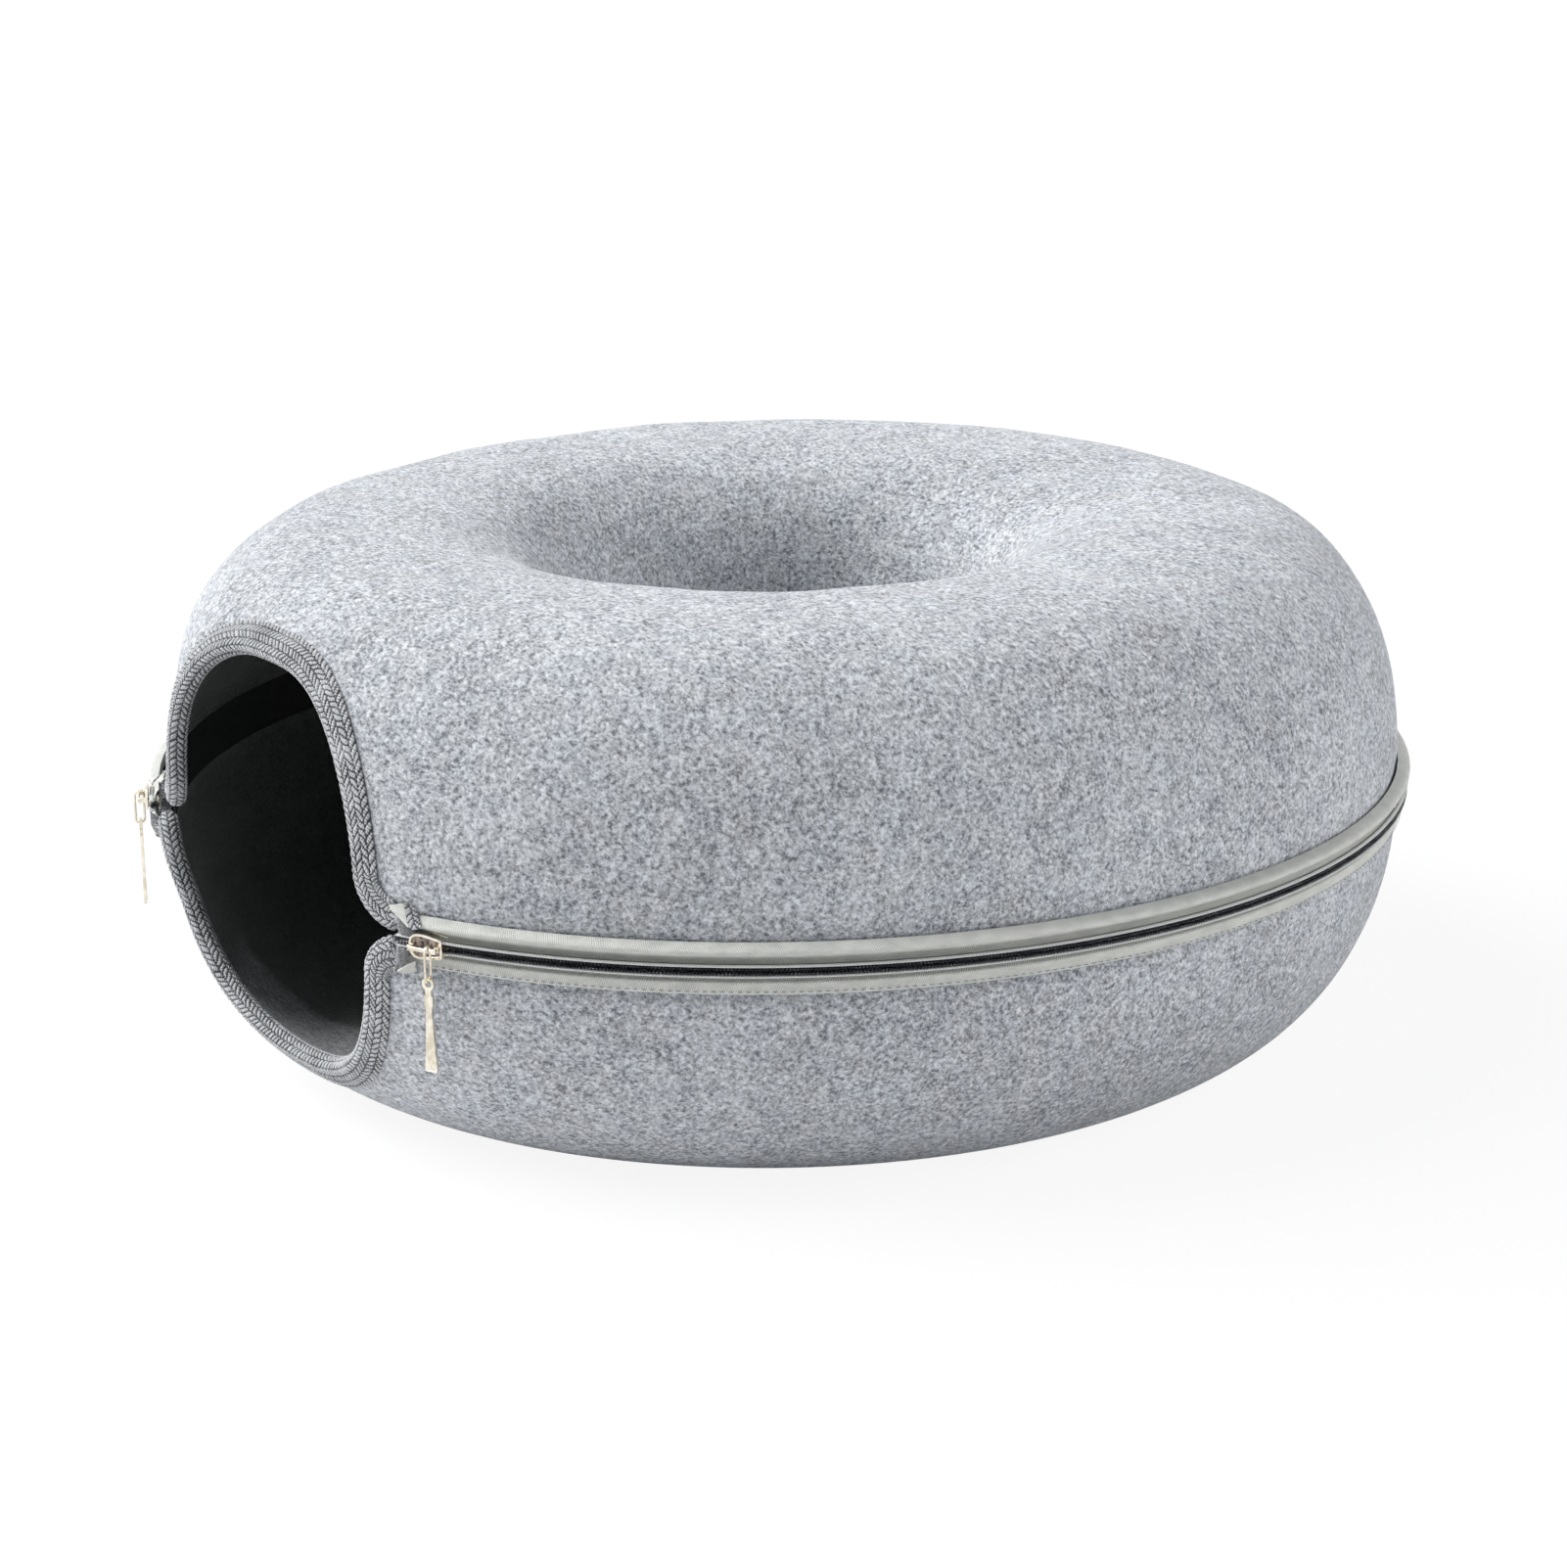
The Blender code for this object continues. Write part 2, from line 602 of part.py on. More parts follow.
def slider_crown(name):
    """A strap that arches from lug to lug over the slider, with room for the pull's ring under it."""
    seat = LUG_HEIGHT + SEAT_GAP + CROWN_THICKNESS / 2
    peak = PULL_AXIS - PLATE_FACE
    path_shares = [(-1, 0), (-0.86, 0.62), (-0.64, 1), (0.64, 1), (0.86, 0.62), (1, 0)]
    stations = []
    for along, lift in path_shares:
        x = along * CROWN_LENGTH / 2
        y = -PLATE_FACE - seat - (peak - seat) * lift
        stations.append([
            Vector((x, y + dy * CROWN_THICKNESS / 2, dz * CROWN_WIDTH / 2))
            for dy, dz in ((1, 1), (1, -1), (-1, -1), (-1, 1))
        ])
    return mesh_object(name, sweep(stations), PLATING, metallic=1, roughness=0.2)


def pull_ring(name):
    """A wire ring, long and narrow, that hangs from the crown. Its origin is the crown's axis."""
    curve = bpy.data.curves.new(name, "CURVE")
    curve.dimensions = "3D"
    curve.bevel_depth = RING_WIRE / 2
    curve.bevel_resolution = 1
    points = []
    for centre, first in ((-RING_DROP, 0), (-RING_DROP - RING_LEG, math.pi)):
        for i in range(RING_BEND_STEPS + 1):
            turn = first + math.pi * i / RING_BEND_STEPS
            points.append((0, math.cos(turn) * RING_BEND_RADIUS, centre + math.sin(turn) * RING_BEND_RADIUS))
    spline = curve.splines.new("POLY")
    spline.points.add(len(points) - 1)
    for point, place in zip(spline.points, points):
        point.co = (*place, 1)
    spline.use_cyclic_u = True
    spline.use_smooth = True
    return new_object(name, curve, PLATING, 1, 0.2)


def pull_tab(name):
    """A flat tab with an eye, a collared neck and a flared blade. Its origin is the wire in its eye."""
    side = [
        (TAB_NECK_HALF_WIDTH, -TAB_NECK_START), (TAB_COLLAR_HALF_WIDTH, -TAB_NECK_START - TAB_CORNER),
        (TAB_COLLAR_HALF_WIDTH, -TAB_COLLAR_END), (TAB_NECK_HALF_WIDTH, -TAB_NECK_END),
        (TAB_END_HALF_WIDTH, TAB_CORNER - TAB_LENGTH), (TAB_END_HALF_WIDTH - TAB_CORNER, -TAB_LENGTH),
    ]
    neck = math.asin(TAB_NECK_HALF_WIDTH / TAB_HEAD_RADIUS)
    head = []
    for i in range(EYE_STEPS + 1):
        turn = neck + (2 * math.pi - 2 * neck) * i / EYE_STEPS
        head.append((-math.sin(turn) * TAB_HEAD_RADIUS, -math.cos(turn) * TAB_HEAD_RADIUS))
    outline = head + side + [(-x, z) for x, z in reversed(side)]
    outline = [(x, z - TAB_DROP) for x, z in outline]
    plate = extruded(outline, -TAB_THICKNESS / 2, TAB_THICKNESS)
    tab = mesh_object(name, plate, PLATING, metallic=1, roughness=0.25)
    eye = bmesh.new()
    bmesh.ops.create_cone(
        eye, cap_ends=True, segments=2 * EYE_STEPS, radius1=TAB_EYE_RADIUS, radius2=TAB_EYE_RADIUS,
        depth=2 * TAB_THICKNESS,
        matrix=Matrix.Translation((0, 0, -TAB_DROP)) @ Matrix.Rotation(math.pi / 2, 4, "X"),
    )
    eye = tool_object(name + "_eye", eye)
    boolean(tab, eye, "DIFFERENCE")
    return tab, eye


def slider(name, side):
    """One slider with its pull, placed on the chain and carried by an empty on the ring's axis."""
    angle = side * SLIDER_SPACING / FELT_RADIUS
    travel = bpy.data.objects.new(name + "_travel", None)
    bpy.context.scene.collection.objects.link(travel)
    travel.location = (0, RING_Y, ZIP_LEVEL)
    travel.rotation_euler = (0, 0, angle)

    body, tools = slider_body(name + "_slider_body", side)
    crown = slider_crown(name + "_slider_crown")
    for piece in [body, crown, *tools]:
        piece.parent = travel
        piece.location = (0, -CHAIN_RADIUS, 0)
    ring = pull_ring(name + "_pull_ring")
    ring.parent = travel
    ring.location = (side * PULL_SHIFT, -CHAIN_RADIUS - PULL_AXIS, 0)
    tab, eye = pull_tab(name + "_pull_tab")
    for piece in (tab, eye):
        piece.parent = ring
        piece.location = (0, 0, -RING_DROP - RING_LEG - RING_BEND_RADIUS)


for leftover in list(bpy.data.objects):
    bpy.data.objects.remove(leftover)
for half_ring in (LOWER, UPPER):
    felt_shell(half_ring)
    entry_binding(half_ring)
    zip_tape(half_ring)
    zip_chain(half_ring)
waist_strips()
slider("right", 1)
slider("left", -1)
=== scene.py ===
import json
import math

import bmesh
import bpy
from mathutils import Matrix, Vector, noise


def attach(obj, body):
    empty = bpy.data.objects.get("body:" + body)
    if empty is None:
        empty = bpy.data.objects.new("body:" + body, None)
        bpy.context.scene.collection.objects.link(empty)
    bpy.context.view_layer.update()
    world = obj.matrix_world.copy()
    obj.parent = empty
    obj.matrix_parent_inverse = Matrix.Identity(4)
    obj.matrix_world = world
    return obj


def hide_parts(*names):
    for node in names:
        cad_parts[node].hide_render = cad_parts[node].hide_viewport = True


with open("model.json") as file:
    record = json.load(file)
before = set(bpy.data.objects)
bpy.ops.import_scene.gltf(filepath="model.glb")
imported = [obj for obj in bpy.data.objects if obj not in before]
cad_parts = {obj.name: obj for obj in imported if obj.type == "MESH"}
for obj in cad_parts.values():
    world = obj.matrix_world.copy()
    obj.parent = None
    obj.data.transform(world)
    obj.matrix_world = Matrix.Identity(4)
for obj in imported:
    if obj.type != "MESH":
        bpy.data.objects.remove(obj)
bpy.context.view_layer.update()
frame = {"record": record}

# The view. The ring stands on a white table and is seen from a little above, with the round
# entry on the left. The middle of the ring, at the height of the zip, is what it turns round.
joints = {joint["name"]: joint for joint in frame["record"]["behaviour"]["joints"]}
MIDDLE = Vector(joints["right_slider_travel"]["pos_m"])
LOOK_ROUND = math.radians(56)
LOOK_DOWN = math.radians(16.8)
LOOK_FROM = 1.5575
LOOK_RIGHT = 0.0019
LOOK_BELOW = 0.00855
TILT = math.radians(-0.82)
SENSOR = 36
FOCAL_LENGTH = 88.47
backward = Vector((
    math.sin(LOOK_ROUND) * math.cos(LOOK_DOWN),
    -math.cos(LOOK_ROUND) * math.cos(LOOK_DOWN),
    math.sin(LOOK_DOWN),
))
rightward = Vector((math.cos(LOOK_ROUND), math.sin(LOOK_ROUND), 0))
upward = backward.cross(rightward)
camera = bpy.data.objects.new("camera", bpy.data.cameras.new("camera"))
bpy.context.scene.collection.objects.link(camera)
camera.data.sensor_width = SENSOR
camera.data.lens = FOCAL_LENGTH
camera.matrix_world = (
    Matrix.Translation(MIDDLE + rightward * LOOK_RIGHT - Vector((0, 0, LOOK_BELOW)) + backward * LOOK_FROM)
    @ Matrix((rightward, upward, backward)).transposed().to_4x4()
    @ Matrix.Rotation(TILT, 4, "Z")
)
bpy.context.scene.camera = camera


# The felt half rings. Each is one sheet of needle-felted wool, about 4 mm thick, pressed over
# a mould into half of a hollow ring. A round entry is cut from the outer wall of both.
FELT_RADIUS = 0.2465
CROWN_RADIUS = 0.163
WAIST_RADIUS = 0.080
FELT_THICKNESS = 0.004
ZIP_RIM_GAP = 0.0025
WAIST_RIM_GAP = 0.0003
ENTRY_FULLNESS = 2.5
SLUMP_LOW = 0.0056
SLUMP_HIGH = 0.0028
SLUMP_AT_ZIP = 0.0036
WAVE = 0.0013
SEAM_DENT = 0.0013
SEAM_HEIGHT = 0.0098
BROAD_WAVES = 17
FINE_WAVES = 41
FINE_SHARE = 0.3
RIM_CLEARANCE = 0.0003
PLUG_REACH = 0.012
PLUG_STEP = 0.0035
TURNED_STEPS = 200
TURNED_FROM = 0.02
FACES_IN = -0.25


class HalfRing:
    """One half of the ring: the line of its wall, and its share of the entry.

    A fullness of 2 makes a quarter of the wall an ellipse, and more makes it squarer. The sink
    is how much the crown is flattened. The entry is its half width, rise and corner radius.
    """

    def __init__(self, name, up, height, outside_fullness, hole_fullness, sink, entry):
        self.name = name
        self.body = name + "_half"
        self.up = up
        self.height = height
        self.outside_fullness = outside_fullness
        self.hole_fullness = hole_fullness
        self.sink = sink
        self.entry = entry

    def quarter(self, reach, rim, fullness, inset, steps):
        """Distance from the crown's radius and height above the zip, from the rim to the crown."""
        rise = self.height + self.sink - rim - inset
        line = []
        for i in range(steps + 1):
            t = math.pi / 2 * (i / steps) ** 1.6
            across = max(math.cos(t), 0) ** (2 / fullness) * reach
            along = rim + math.sin(t) ** (2 / fullness) * rise
            line.append((across, min(along, self.height - inset)))
        return line

    def outside(self, inset, steps=36):
        reach = FELT_RADIUS - CROWN_RADIUS - inset
        line = self.quarter(reach, ZIP_RIM_GAP, self.outside_fullness, inset, steps)
        return [(CROWN_RADIUS + across, along) for across, along in line]

    def hole(self, inset, steps=30):
        reach = CROWN_RADIUS - WAIST_RADIUS - inset
        line = self.quarter(reach, WAIST_RIM_GAP, self.hole_fullness, inset, steps)
        return [(CROWN_RADIUS - across, along) for across, along in line]


upper = HalfRing(
    "upper", up=1, height=0.105, outside_fullness=2.55, hole_fullness=3.3, sink=0,
    entry=(0.0803, 0.0823, 0.020),
)
lower = HalfRing(
    "lower", up=-1, height=0.098, outside_fullness=2.15, hole_fullness=2.4, sink=0.003,
    entry=(0.0833, 0.0738, 0.016),
)


def eased(share):
    """Goes smoothly from 0 to 1 as the share does."""
    share = min(max(share, 0), 1)
    return share * share * (3 - 2 * share)


def at(radius, angle, height):
    """A point by its distance from the ring's axis, its angle from the entry, and its height."""
    return MIDDLE + Vector((radius * math.sin(angle), -radius * math.cos(angle), height))


def slumped(radius, angle, height):
    """The same for the felt's outer wall, which leans inwards left of the entry.

    The lean comes in just left of the entry and is gone at the back. Next to the zip only the
    stretch beside the entry leans, and above it the lean gets less with the height.
    """
    angle = math.remainder(angle, 2 * math.pi)
    outer = min(max((radius - CROWN_RADIUS) / (FELT_RADIUS - CROWN_RADIUS), 0), 1)
    wide = eased((-angle - 0.15) / 0.35) * eased((2.1 + angle) / 0.8)
    away = eased((abs(height) - 0.006) / 0.034)
    beside_zip = eased((-angle - 0.20) / 0.12) * eased((0.66 + angle) / 0.24) * (height > 0)
    depth = SLUMP_LOW + (SLUMP_HIGH - SLUMP_LOW) * eased((height - 0.030) / 0.050)
    lean = depth * wide * away + SLUMP_AT_ZIP * beside_zip * (1 - away)
    return at(radius - lean * outer, angle, height)


def between(table, value, column):
    """A row of the table, found by a value of one column and taken between two rows."""
    for low, high in zip(table, table[1:]):
        if value <= high[column]:
            break
    share = (value - low[column]) / max(high[column] - low[column], 1e-12)
    return [a + (b - a) * share for a, b in zip(low, high)]


def wall_table(half):
    """Rows of (distance along the wall, radius, height, and the two parts of its normal)."""
    wall = half.outside(0)
    slopes = [Vector(b) - Vector(a) for a, b in zip(wall, wall[1:])]
    rows = []
    along = 0.0
    for i, (radius, height) in enumerate(wall):
        slope = slopes[max(i - 1, 0)].normalized() + slopes[min(i, len(slopes) - 1)].normalized()
        slope.normalize()
        rows.append((along, radius, height, slope.y, -slope.x))
        if i < len(slopes):
            along += slopes[i].length
    return rows


def smooth_line(knots, step):
    """Points at even steps along a smooth curve through the knots."""
    knots = [Vector(knot) for knot in knots]
    fine = []
    for i in range(len(knots) - 1):
        a, b, c, d = (knots[min(max(i + k, 0), len(knots) - 1)] for k in (-1, 0, 1, 2))
        for j in range(12):
            t = j / 12
            bend = (2 * a - 5 * b + 4 * c - d) * t * t + (3 * b - a - 3 * c + d) * t ** 3
            fine.append((2 * b + (c - a) * t + bend) / 2)
    fine.append(knots[-1])
    walked = [0.0]
    for a, b in zip(fine, fine[1:]):
        walked.append(walked[-1] + (b - a).length)
    count = max(round(walked[-1] / step), 1)
    line = []
    i = 0
    for k in range(count + 1):
        while i < len(fine) - 2 and walked[i + 1] < walked[-1] * k / count:
            i += 1
        share = (walked[-1] * k / count - walked[i]) / max(walked[i + 1] - walked[i], 1e-12)
        line.append(fine[i].lerp(fine[i + 1], min(max(share, 0), 1)))
    return line


def entry_frames(half, step, tail=0):
    """Along the entry's cut edge: angle, distance along the wall, radius, and the way off the hole."""
    half_width, rise, corner = half.entry
    first = math.asin(((ZIP_RIM_GAP + corner) / rise) ** (ENTRY_FULLNESS / 2))
    foot = math.cos(first) ** (2 / ENTRY_FULLNESS) * half_width
    path = [(foot + corner + tail * i / 4, ZIP_RIM_GAP + RIM_CLEARANCE) for i in (4, 3, 2, 1) if tail]
    for i in range(8):
        turn = math.radians(80) * (1 - i / 8)
        path.append((foot + corner - math.cos(turn) * corner, ZIP_RIM_GAP + corner - math.sin(turn) * corner))
    for i in range(31):
        t = first + (math.pi / 2 - first) * i / 30
        path.append((
            max(math.cos(t), 0) ** (2 / ENTRY_FULLNESS) * half_width,
            math.sin(t) ** (2 / ENTRY_FULLNESS) * rise,
        ))
    path += [(-x, z) for x, z in reversed(path[:-1])]
    table = wall_table(half)
    places = [(x / FELT_RADIUS, *between(table, z, 2)[:2]) for x, z in smooth_line(path, step)]
    frames = []
    for i, (angle, along, radius) in enumerate(places):
        before, after = places[max(i - 1, 0)], places[min(i + 1, len(places) - 1)]
        run = Vector(((after[0] - before[0]) * radius, after[1] - before[1])).normalized()
        frames.append((angle, along, radius, Vector((run.y, -run.x))))
    return frames


def on_wall(half, table, edge, away, proud):
    """The point some way from the entry's edge along the felt, and some way above the felt."""
    angle, along, radius, outward = edge
    _, r, z, normal_r, normal_z = between(table, along + outward.y * away, 0)
    angle += outward.x * away / radius
    return slumped(r + normal_r * proud, angle, half.up * (z + normal_z * proud))


def sweep(stations, step=None, marks=None, capped=True):
    """A skin through loops of points, with a map in metres: along the band, and round its section."""
    bm = bmesh.new()
    weave = bm.loops.layers.uv.new("weave")
    verts = [bm.verts.new(p) for p in stations[0]]
    edges = [bm.edges.new(pair) for pair in zip(verts, verts[1:] + verts[:1])]
    first_edges = edges
    middle = stations[len(stations) // 2]
    around = [0.0]
    for a, b in zip(middle, middle[1:] + middle[:1]):
        around.append(around[-1] + (b - a).length)
    if marks:
        around = marks
    column = {v: i for i, v in enumerate(verts)}
    row = {v: 0.0 for v in verts}
    along = 0.0
    for before, points in zip(stations, stations[1:]):
        along += step or sum((b - a).length for a, b in zip(before, points)) / len(points)
        made = bmesh.ops.extrude_edge_only(bm, edges=edges)["geom"]
        edges = [g for g in made if isinstance(g, bmesh.types.BMEdge)]
        fresh = {tuple(g.co): g for g in made if isinstance(g, bmesh.types.BMVert)}
        verts = [fresh[tuple(v.co)] for v in verts]
        for i, (vert, point) in enumerate(zip(verts, points)):
            vert.co = point
            column[vert] = i
            row[vert] = along
    for face in bm.faces:
        wraps = {column[v] for v in face.verts} >= {0, len(middle) - 1}
        for loop in face.loops:
            i = column[loop.vert]
            loop[weave].uv = (row[loop.vert], around[len(middle) if wraps and i == 0 else i])
    if capped:
        bmesh.ops.edgeloop_fill(bm, edges=first_edges)
        bmesh.ops.edgeloop_fill(bm, edges=edges)
    return bm


def finished(name, bm, finishes, crease=math.radians(40)):
    """Makes the piece of a bmesh, with its faces outwards and its round parts smooth."""
    bmesh.ops.recalc_face_normals(bm, faces=bm.faces)
    mesh = bpy.data.meshes.new(name)
    bm.to_mesh(mesh)
    bm.free()
    mesh.shade_smooth()
    mesh.set_sharp_from_angle(angle=crease)
    for finish in finishes:
        mesh.materials.append(finish.material)
    piece = bpy.data.objects.new(name, mesh)
    bpy.context.scene.collection.objects.link(piece)
    return piece


class Field:
    """What a finish knows at each point of a surface, such as a colour or a height."""

    def __init__(self, finish, socket):
        self.finish = finish
        self.socket = socket

    def sum(self, operation, other=0.0, swapped=False):
        pair = {0: other, 1: self} if swapped else {0: self, 1: other}
        return self.finish.node("Math", pair, operation=operation)

    def __add__(self, other):
        return self.sum("ADD", other)

    def __sub__(self, other):
        return self.sum("SUBTRACT", other)

    def __rsub__(self, other):
        return self.sum("SUBTRACT", other, swapped=True)

    def __mul__(self, other):
        return self.sum("MULTIPLY", other)

    def __truediv__(self, other):
        return self.sum("DIVIDE", other)

    __radd__ = __add__
    __rmul__ = __mul__


class Finish:
    """A material made of nodes, for one kind of surface on the ring."""

    def __init__(self, name, roughness, metallic=0.0, sheen=0.0):
        self.material = bpy.data.materials.new(name)
        self.material.use_nodes = True
        self.tree = self.material.node_tree
        self.shader = self.tree.nodes["Principled BSDF"]
        self.shader.inputs["Roughness"].default_value = roughness
        self.shader.inputs["Metallic"].default_value = metallic
        self.shader.inputs["Sheen Weight"].default_value = sheen
        self.shader.inputs["Sheen Roughness"].default_value = 0.5

    def node(self, kind, sockets, output=0, **settings):
        made = self.tree.nodes.new("ShaderNode" + kind)
        for key, value in settings.items():
            setattr(made, key, value)
        for key, value in sockets.items():
            if isinstance(value, Field):
                self.tree.links.new(value.socket, made.inputs[key])
            else:
                made.inputs[key].default_value = value
        return Field(self, made.outputs[output])

    def place(self, scale=(1, 1, 1), turn=(0, 0, 0), output="Object"):
        """The point's own place on the piece, turned and scaled."""
        own = self.node("TexCoord", {}, output=output)
        return self.node("Mapping", {"Vector": own, "Scale": scale, "Rotation": turn})

    def axes(self, output="Object"):
        """The three parts of the point's own place, each as a value."""
        own = self.place(output=output)
        return [self.node("SeparateXYZ", {"Vector": own}, output=axis) for axis in "XYZ"]

    def noise(self, place, scale, detail=2.0, roughness=0.5, distortion=0.0):
        return self.node("TexNoise", {
            "Vector": place, "Scale": scale, "Detail": detail,
            "Roughness": roughness, "Distortion": distortion,
        })

    def band(self, value, low, high, start=0.0, end=1.0):
        """Goes smoothly from start to end while the value goes from low to high."""
        return self.node("MapRange", {
            "Value": value, "From Min": low, "From Max": high, "To Min": start, "To Max": end,
        }, interpolation_type="SMOOTHSTEP")

    def blend(self, share, first, second):
        sockets = {0: share, 6: first, 7: second}
        return self.node("Mix", sockets, output=2, data_type="RGBA", clamp_factor=True)

    def colour(self, field):
        self.tree.links.new(field.socket, self.shader.inputs["Base Color"])

    def rough(self, field):
        self.tree.links.new(field.socket, self.shader.inputs["Roughness"])

    def relief(self, height, depth, strength=1.0):
        sockets = {"Height": height, "Distance": depth, "Strength": strength}
        raised = self.node("Bump", sockets, output="Normal")
        self.tree.links.new(raised.socket, self.shader.inputs["Normal"])


def felt_fibres(finish):
    """Short wool fibres that lie every way, and the darker and paler flecks that they make."""
    turns = ((0.3, 0.2, 0.1), (1.2, 0.5, 0.9), (0.7, 1.4, 2.0), (2.2, 0.9, 2.9))
    places = [finish.place(scale=(400, 900, 900), turn=turn) for turn in turns]
    streaks = [finish.noise(place, 1.0, detail=3.0, roughness=0.6, distortion=0.3) for place in places]
    pale = streaks[0].sum("MAXIMUM", streaks[1])
    deep = streaks[2].sum("MAXIMUM", streaks[3])
    flecks = finish.noise(finish.place(), 500, detail=3.0, roughness=0.6)
    clumps = finish.noise(finish.place(), 150, detail=2.0, roughness=0.6, distortion=0.4)
    return (pale - deep) * 1.7 + (flecks - 0.5) * 1.8 + (clumps - 0.5) * 0.6 + 0.5


FELT_RELIEF = 0.0004
wool = Finish("grey_felt", roughness=1.0, sheen=0.15)
fibres = felt_fibres(wool)
cloud = wool.noise(wool.place(), 24, detail=2.0)
tint = wool.noise(wool.place(), 75, detail=2.0)
dark_wool = wool.blend(wool.band(tint, 0.3, 0.7), (0.140, 0.149, 0.170, 1), (0.148, 0.152, 0.163, 1))
pale_wool = wool.blend(wool.band(tint, 0.3, 0.7), (0.775, 0.804, 0.860, 1), (0.790, 0.806, 0.840, 1))
wool.colour(wool.blend(fibres + (cloud - 0.5) * 0.3, dark_wool, pale_wool))
wool.relief(fibres, FELT_RELIEF)

# The inside of the felt. Its near-black colour is painted shade, for the dark inside the tunnel. A paler
# patch on the floor just inside the entry is painted light, where light falls in.
inside_painted_shade = Finish("tunnel_inside_painted_shade", roughness=1.0, sheen=0.5)
fibres = felt_fibres(inside_painted_shade)
x, y, height = inside_painted_shade.axes()
ragged = (inside_painted_shade.noise(inside_painted_shade.place(), 60, detail=3.0) - 0.5) * 0.008
lit_floor_share = (
    inside_painted_shade.band(y - x * 0.35 + ragged, MIDDLE.y - 0.153, MIDDLE.y - 0.141, 1.0, 0.0)
    * inside_painted_shade.band(height, 0.020, 0.036, 1.0, 0.0)
)
painted_tunnel_shade = inside_painted_shade.blend(fibres, (0.105, 0.117, 0.112, 1), (0.175, 0.192, 0.184, 1))
lit_floor_wool = inside_painted_shade.blend(fibres, (0.240, 0.250, 0.275, 1), (0.920, 0.935, 0.960, 1))
inside_painted_shade.colour(inside_painted_shade.blend(lit_floor_share, painted_tunnel_shade, lit_floor_wool))
inside_painted_shade.relief(fibres, FELT_RELIEF)


def shaped(half, point):
    """Where a point of the sheet ends up: a little wavy, slumped, and drawn in along the zip."""
    flat = Vector((point.x - MIDDLE.x, point.y - MIDDLE.y, 0))
    height = (point.z - MIDDLE.z) * half.up
    radius = flat.length
    angle = math.atan2(flat.x, -flat.y)
    outside = radius > CROWN_RADIUS
    free = eased((height - 0.022) / 0.035)
    free *= eased((abs(angle) - 0.40) / 0.30) if outside else 1
    if half.up < 0:
        free *= eased((0.085 - height) / 0.03) * 0.5
    wave = noise.noise(point * BROAD_WAVES) + noise.noise(point * FINE_WAVES) * FINE_SHARE
    outward = flat * ((radius - CROWN_RADIUS) / radius)
    outward.z = height * half.up
    drawn = SEAM_DENT * math.exp(-((height - SEAM_HEIGHT) / 0.0020) ** 2) * outside
    drawn *= eased((abs(angle) - 0.42) / 0.03)
    lean = slumped(radius, angle, half.up * height) - at(radius, angle, half.up * height)
    return point + outward.normalized() * (wave * free * WAVE) - flat / radius * drawn + lean


def cut_away(piece, cutter):
    """Takes the cutter's shape from the piece for good, and drops the cutter."""
    cut = piece.modifiers.new("cut", "BOOLEAN")
    cut.operation = "DIFFERENCE"
    cut.object = cutter
    cut.solver = "EXACT"
    bpy.context.view_layer.update()
    whole = piece.data
    graph = bpy.context.evaluated_depsgraph_get()
    cut_mesh = bpy.data.meshes.new_from_object(piece.evaluated_get(graph))
    piece.modifiers.clear()
    piece.data = cut_mesh
    bpy.data.meshes.remove(whole)
    bpy.data.meshes.remove(cutter.data)


def cut_entry(shell, half):
    """Takes the entry's share from the shell with a plug that is square to the felt."""
    table = wall_table(half)
    edges = entry_frames(half, PLUG_STEP)
    loops = []
    for depth in (-FELT_THICKNESS - PLUG_REACH, PLUG_REACH):
        ring = [on_wall(half, table, edge, 0, depth) for edge in edges]
        ends = [ring[-1].copy(), ring[0].copy()]
        for end in ends:
            end.z = MIDDLE.z - half.up * PLUG_REACH
        loops.append(ring + ends)
    near = [Vector((p.x, MIDDLE.y - CROWN_RADIUS, p.z)) for p in loops[0]]
    far = [Vector((p.x, MIDDLE.y - FELT_RADIUS - 2 * PLUG_REACH, p.z)) for p in loops[1]]
    cut_away(shell, finished("entry_plug", sweep([near, *loops, far]), []))


for half in (upper, lower):
    skin = half.outside(0) + half.hole(0)[-2::-1]
    inside = half.outside(FELT_THICKNESS) + half.hole(FELT_THICKNESS)[-2::-1]
    bm = bmesh.new()
    verts = [bm.verts.new(at(r, TURNED_FROM, half.up * z)) for r, z in skin + inside[::-1]]
    edges = [bm.edges.new(pair) for pair in zip(verts, verts[1:] + verts[:1])]
    bmesh.ops.spin(
        bm, geom=verts + edges, cent=MIDDLE, axis=(0, 0, 1),
        angle=2 * math.pi, steps=TURNED_STEPS, use_merge=True,
    )
    bmesh.ops.remove_doubles(bm, verts=bm.verts, dist=1e-6)
    bmesh.ops.recalc_face_normals(bm, faces=bm.faces)
    # Faces that look into the tunnel take the second finish, the painted shade of the inside.
    for face in bm.faces:
        spot = face.calc_center_median() - MIDDLE
        radius = math.hypot(spot.x, spot.y)
        off_core = Vector((spot.x, spot.y, 0)) * ((radius - CROWN_RADIUS) / radius)
        off_core.z = spot.z
        face.material_index = int(face.normal.dot(off_core.normalized()) < FACES_IN)
    for vert in bm.verts:
        vert.co = shaped(half, vert.co)
    shell = finished(half.name + "_felt", bm, [wool, inside_painted_shade])
    cut_entry(shell, half)
    shell.data.shade_smooth()
    shell.data.set_sharp_from_angle(angle=math.radians(50))
    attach(shell, half.body)
    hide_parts(half.name + "_felt_shell")


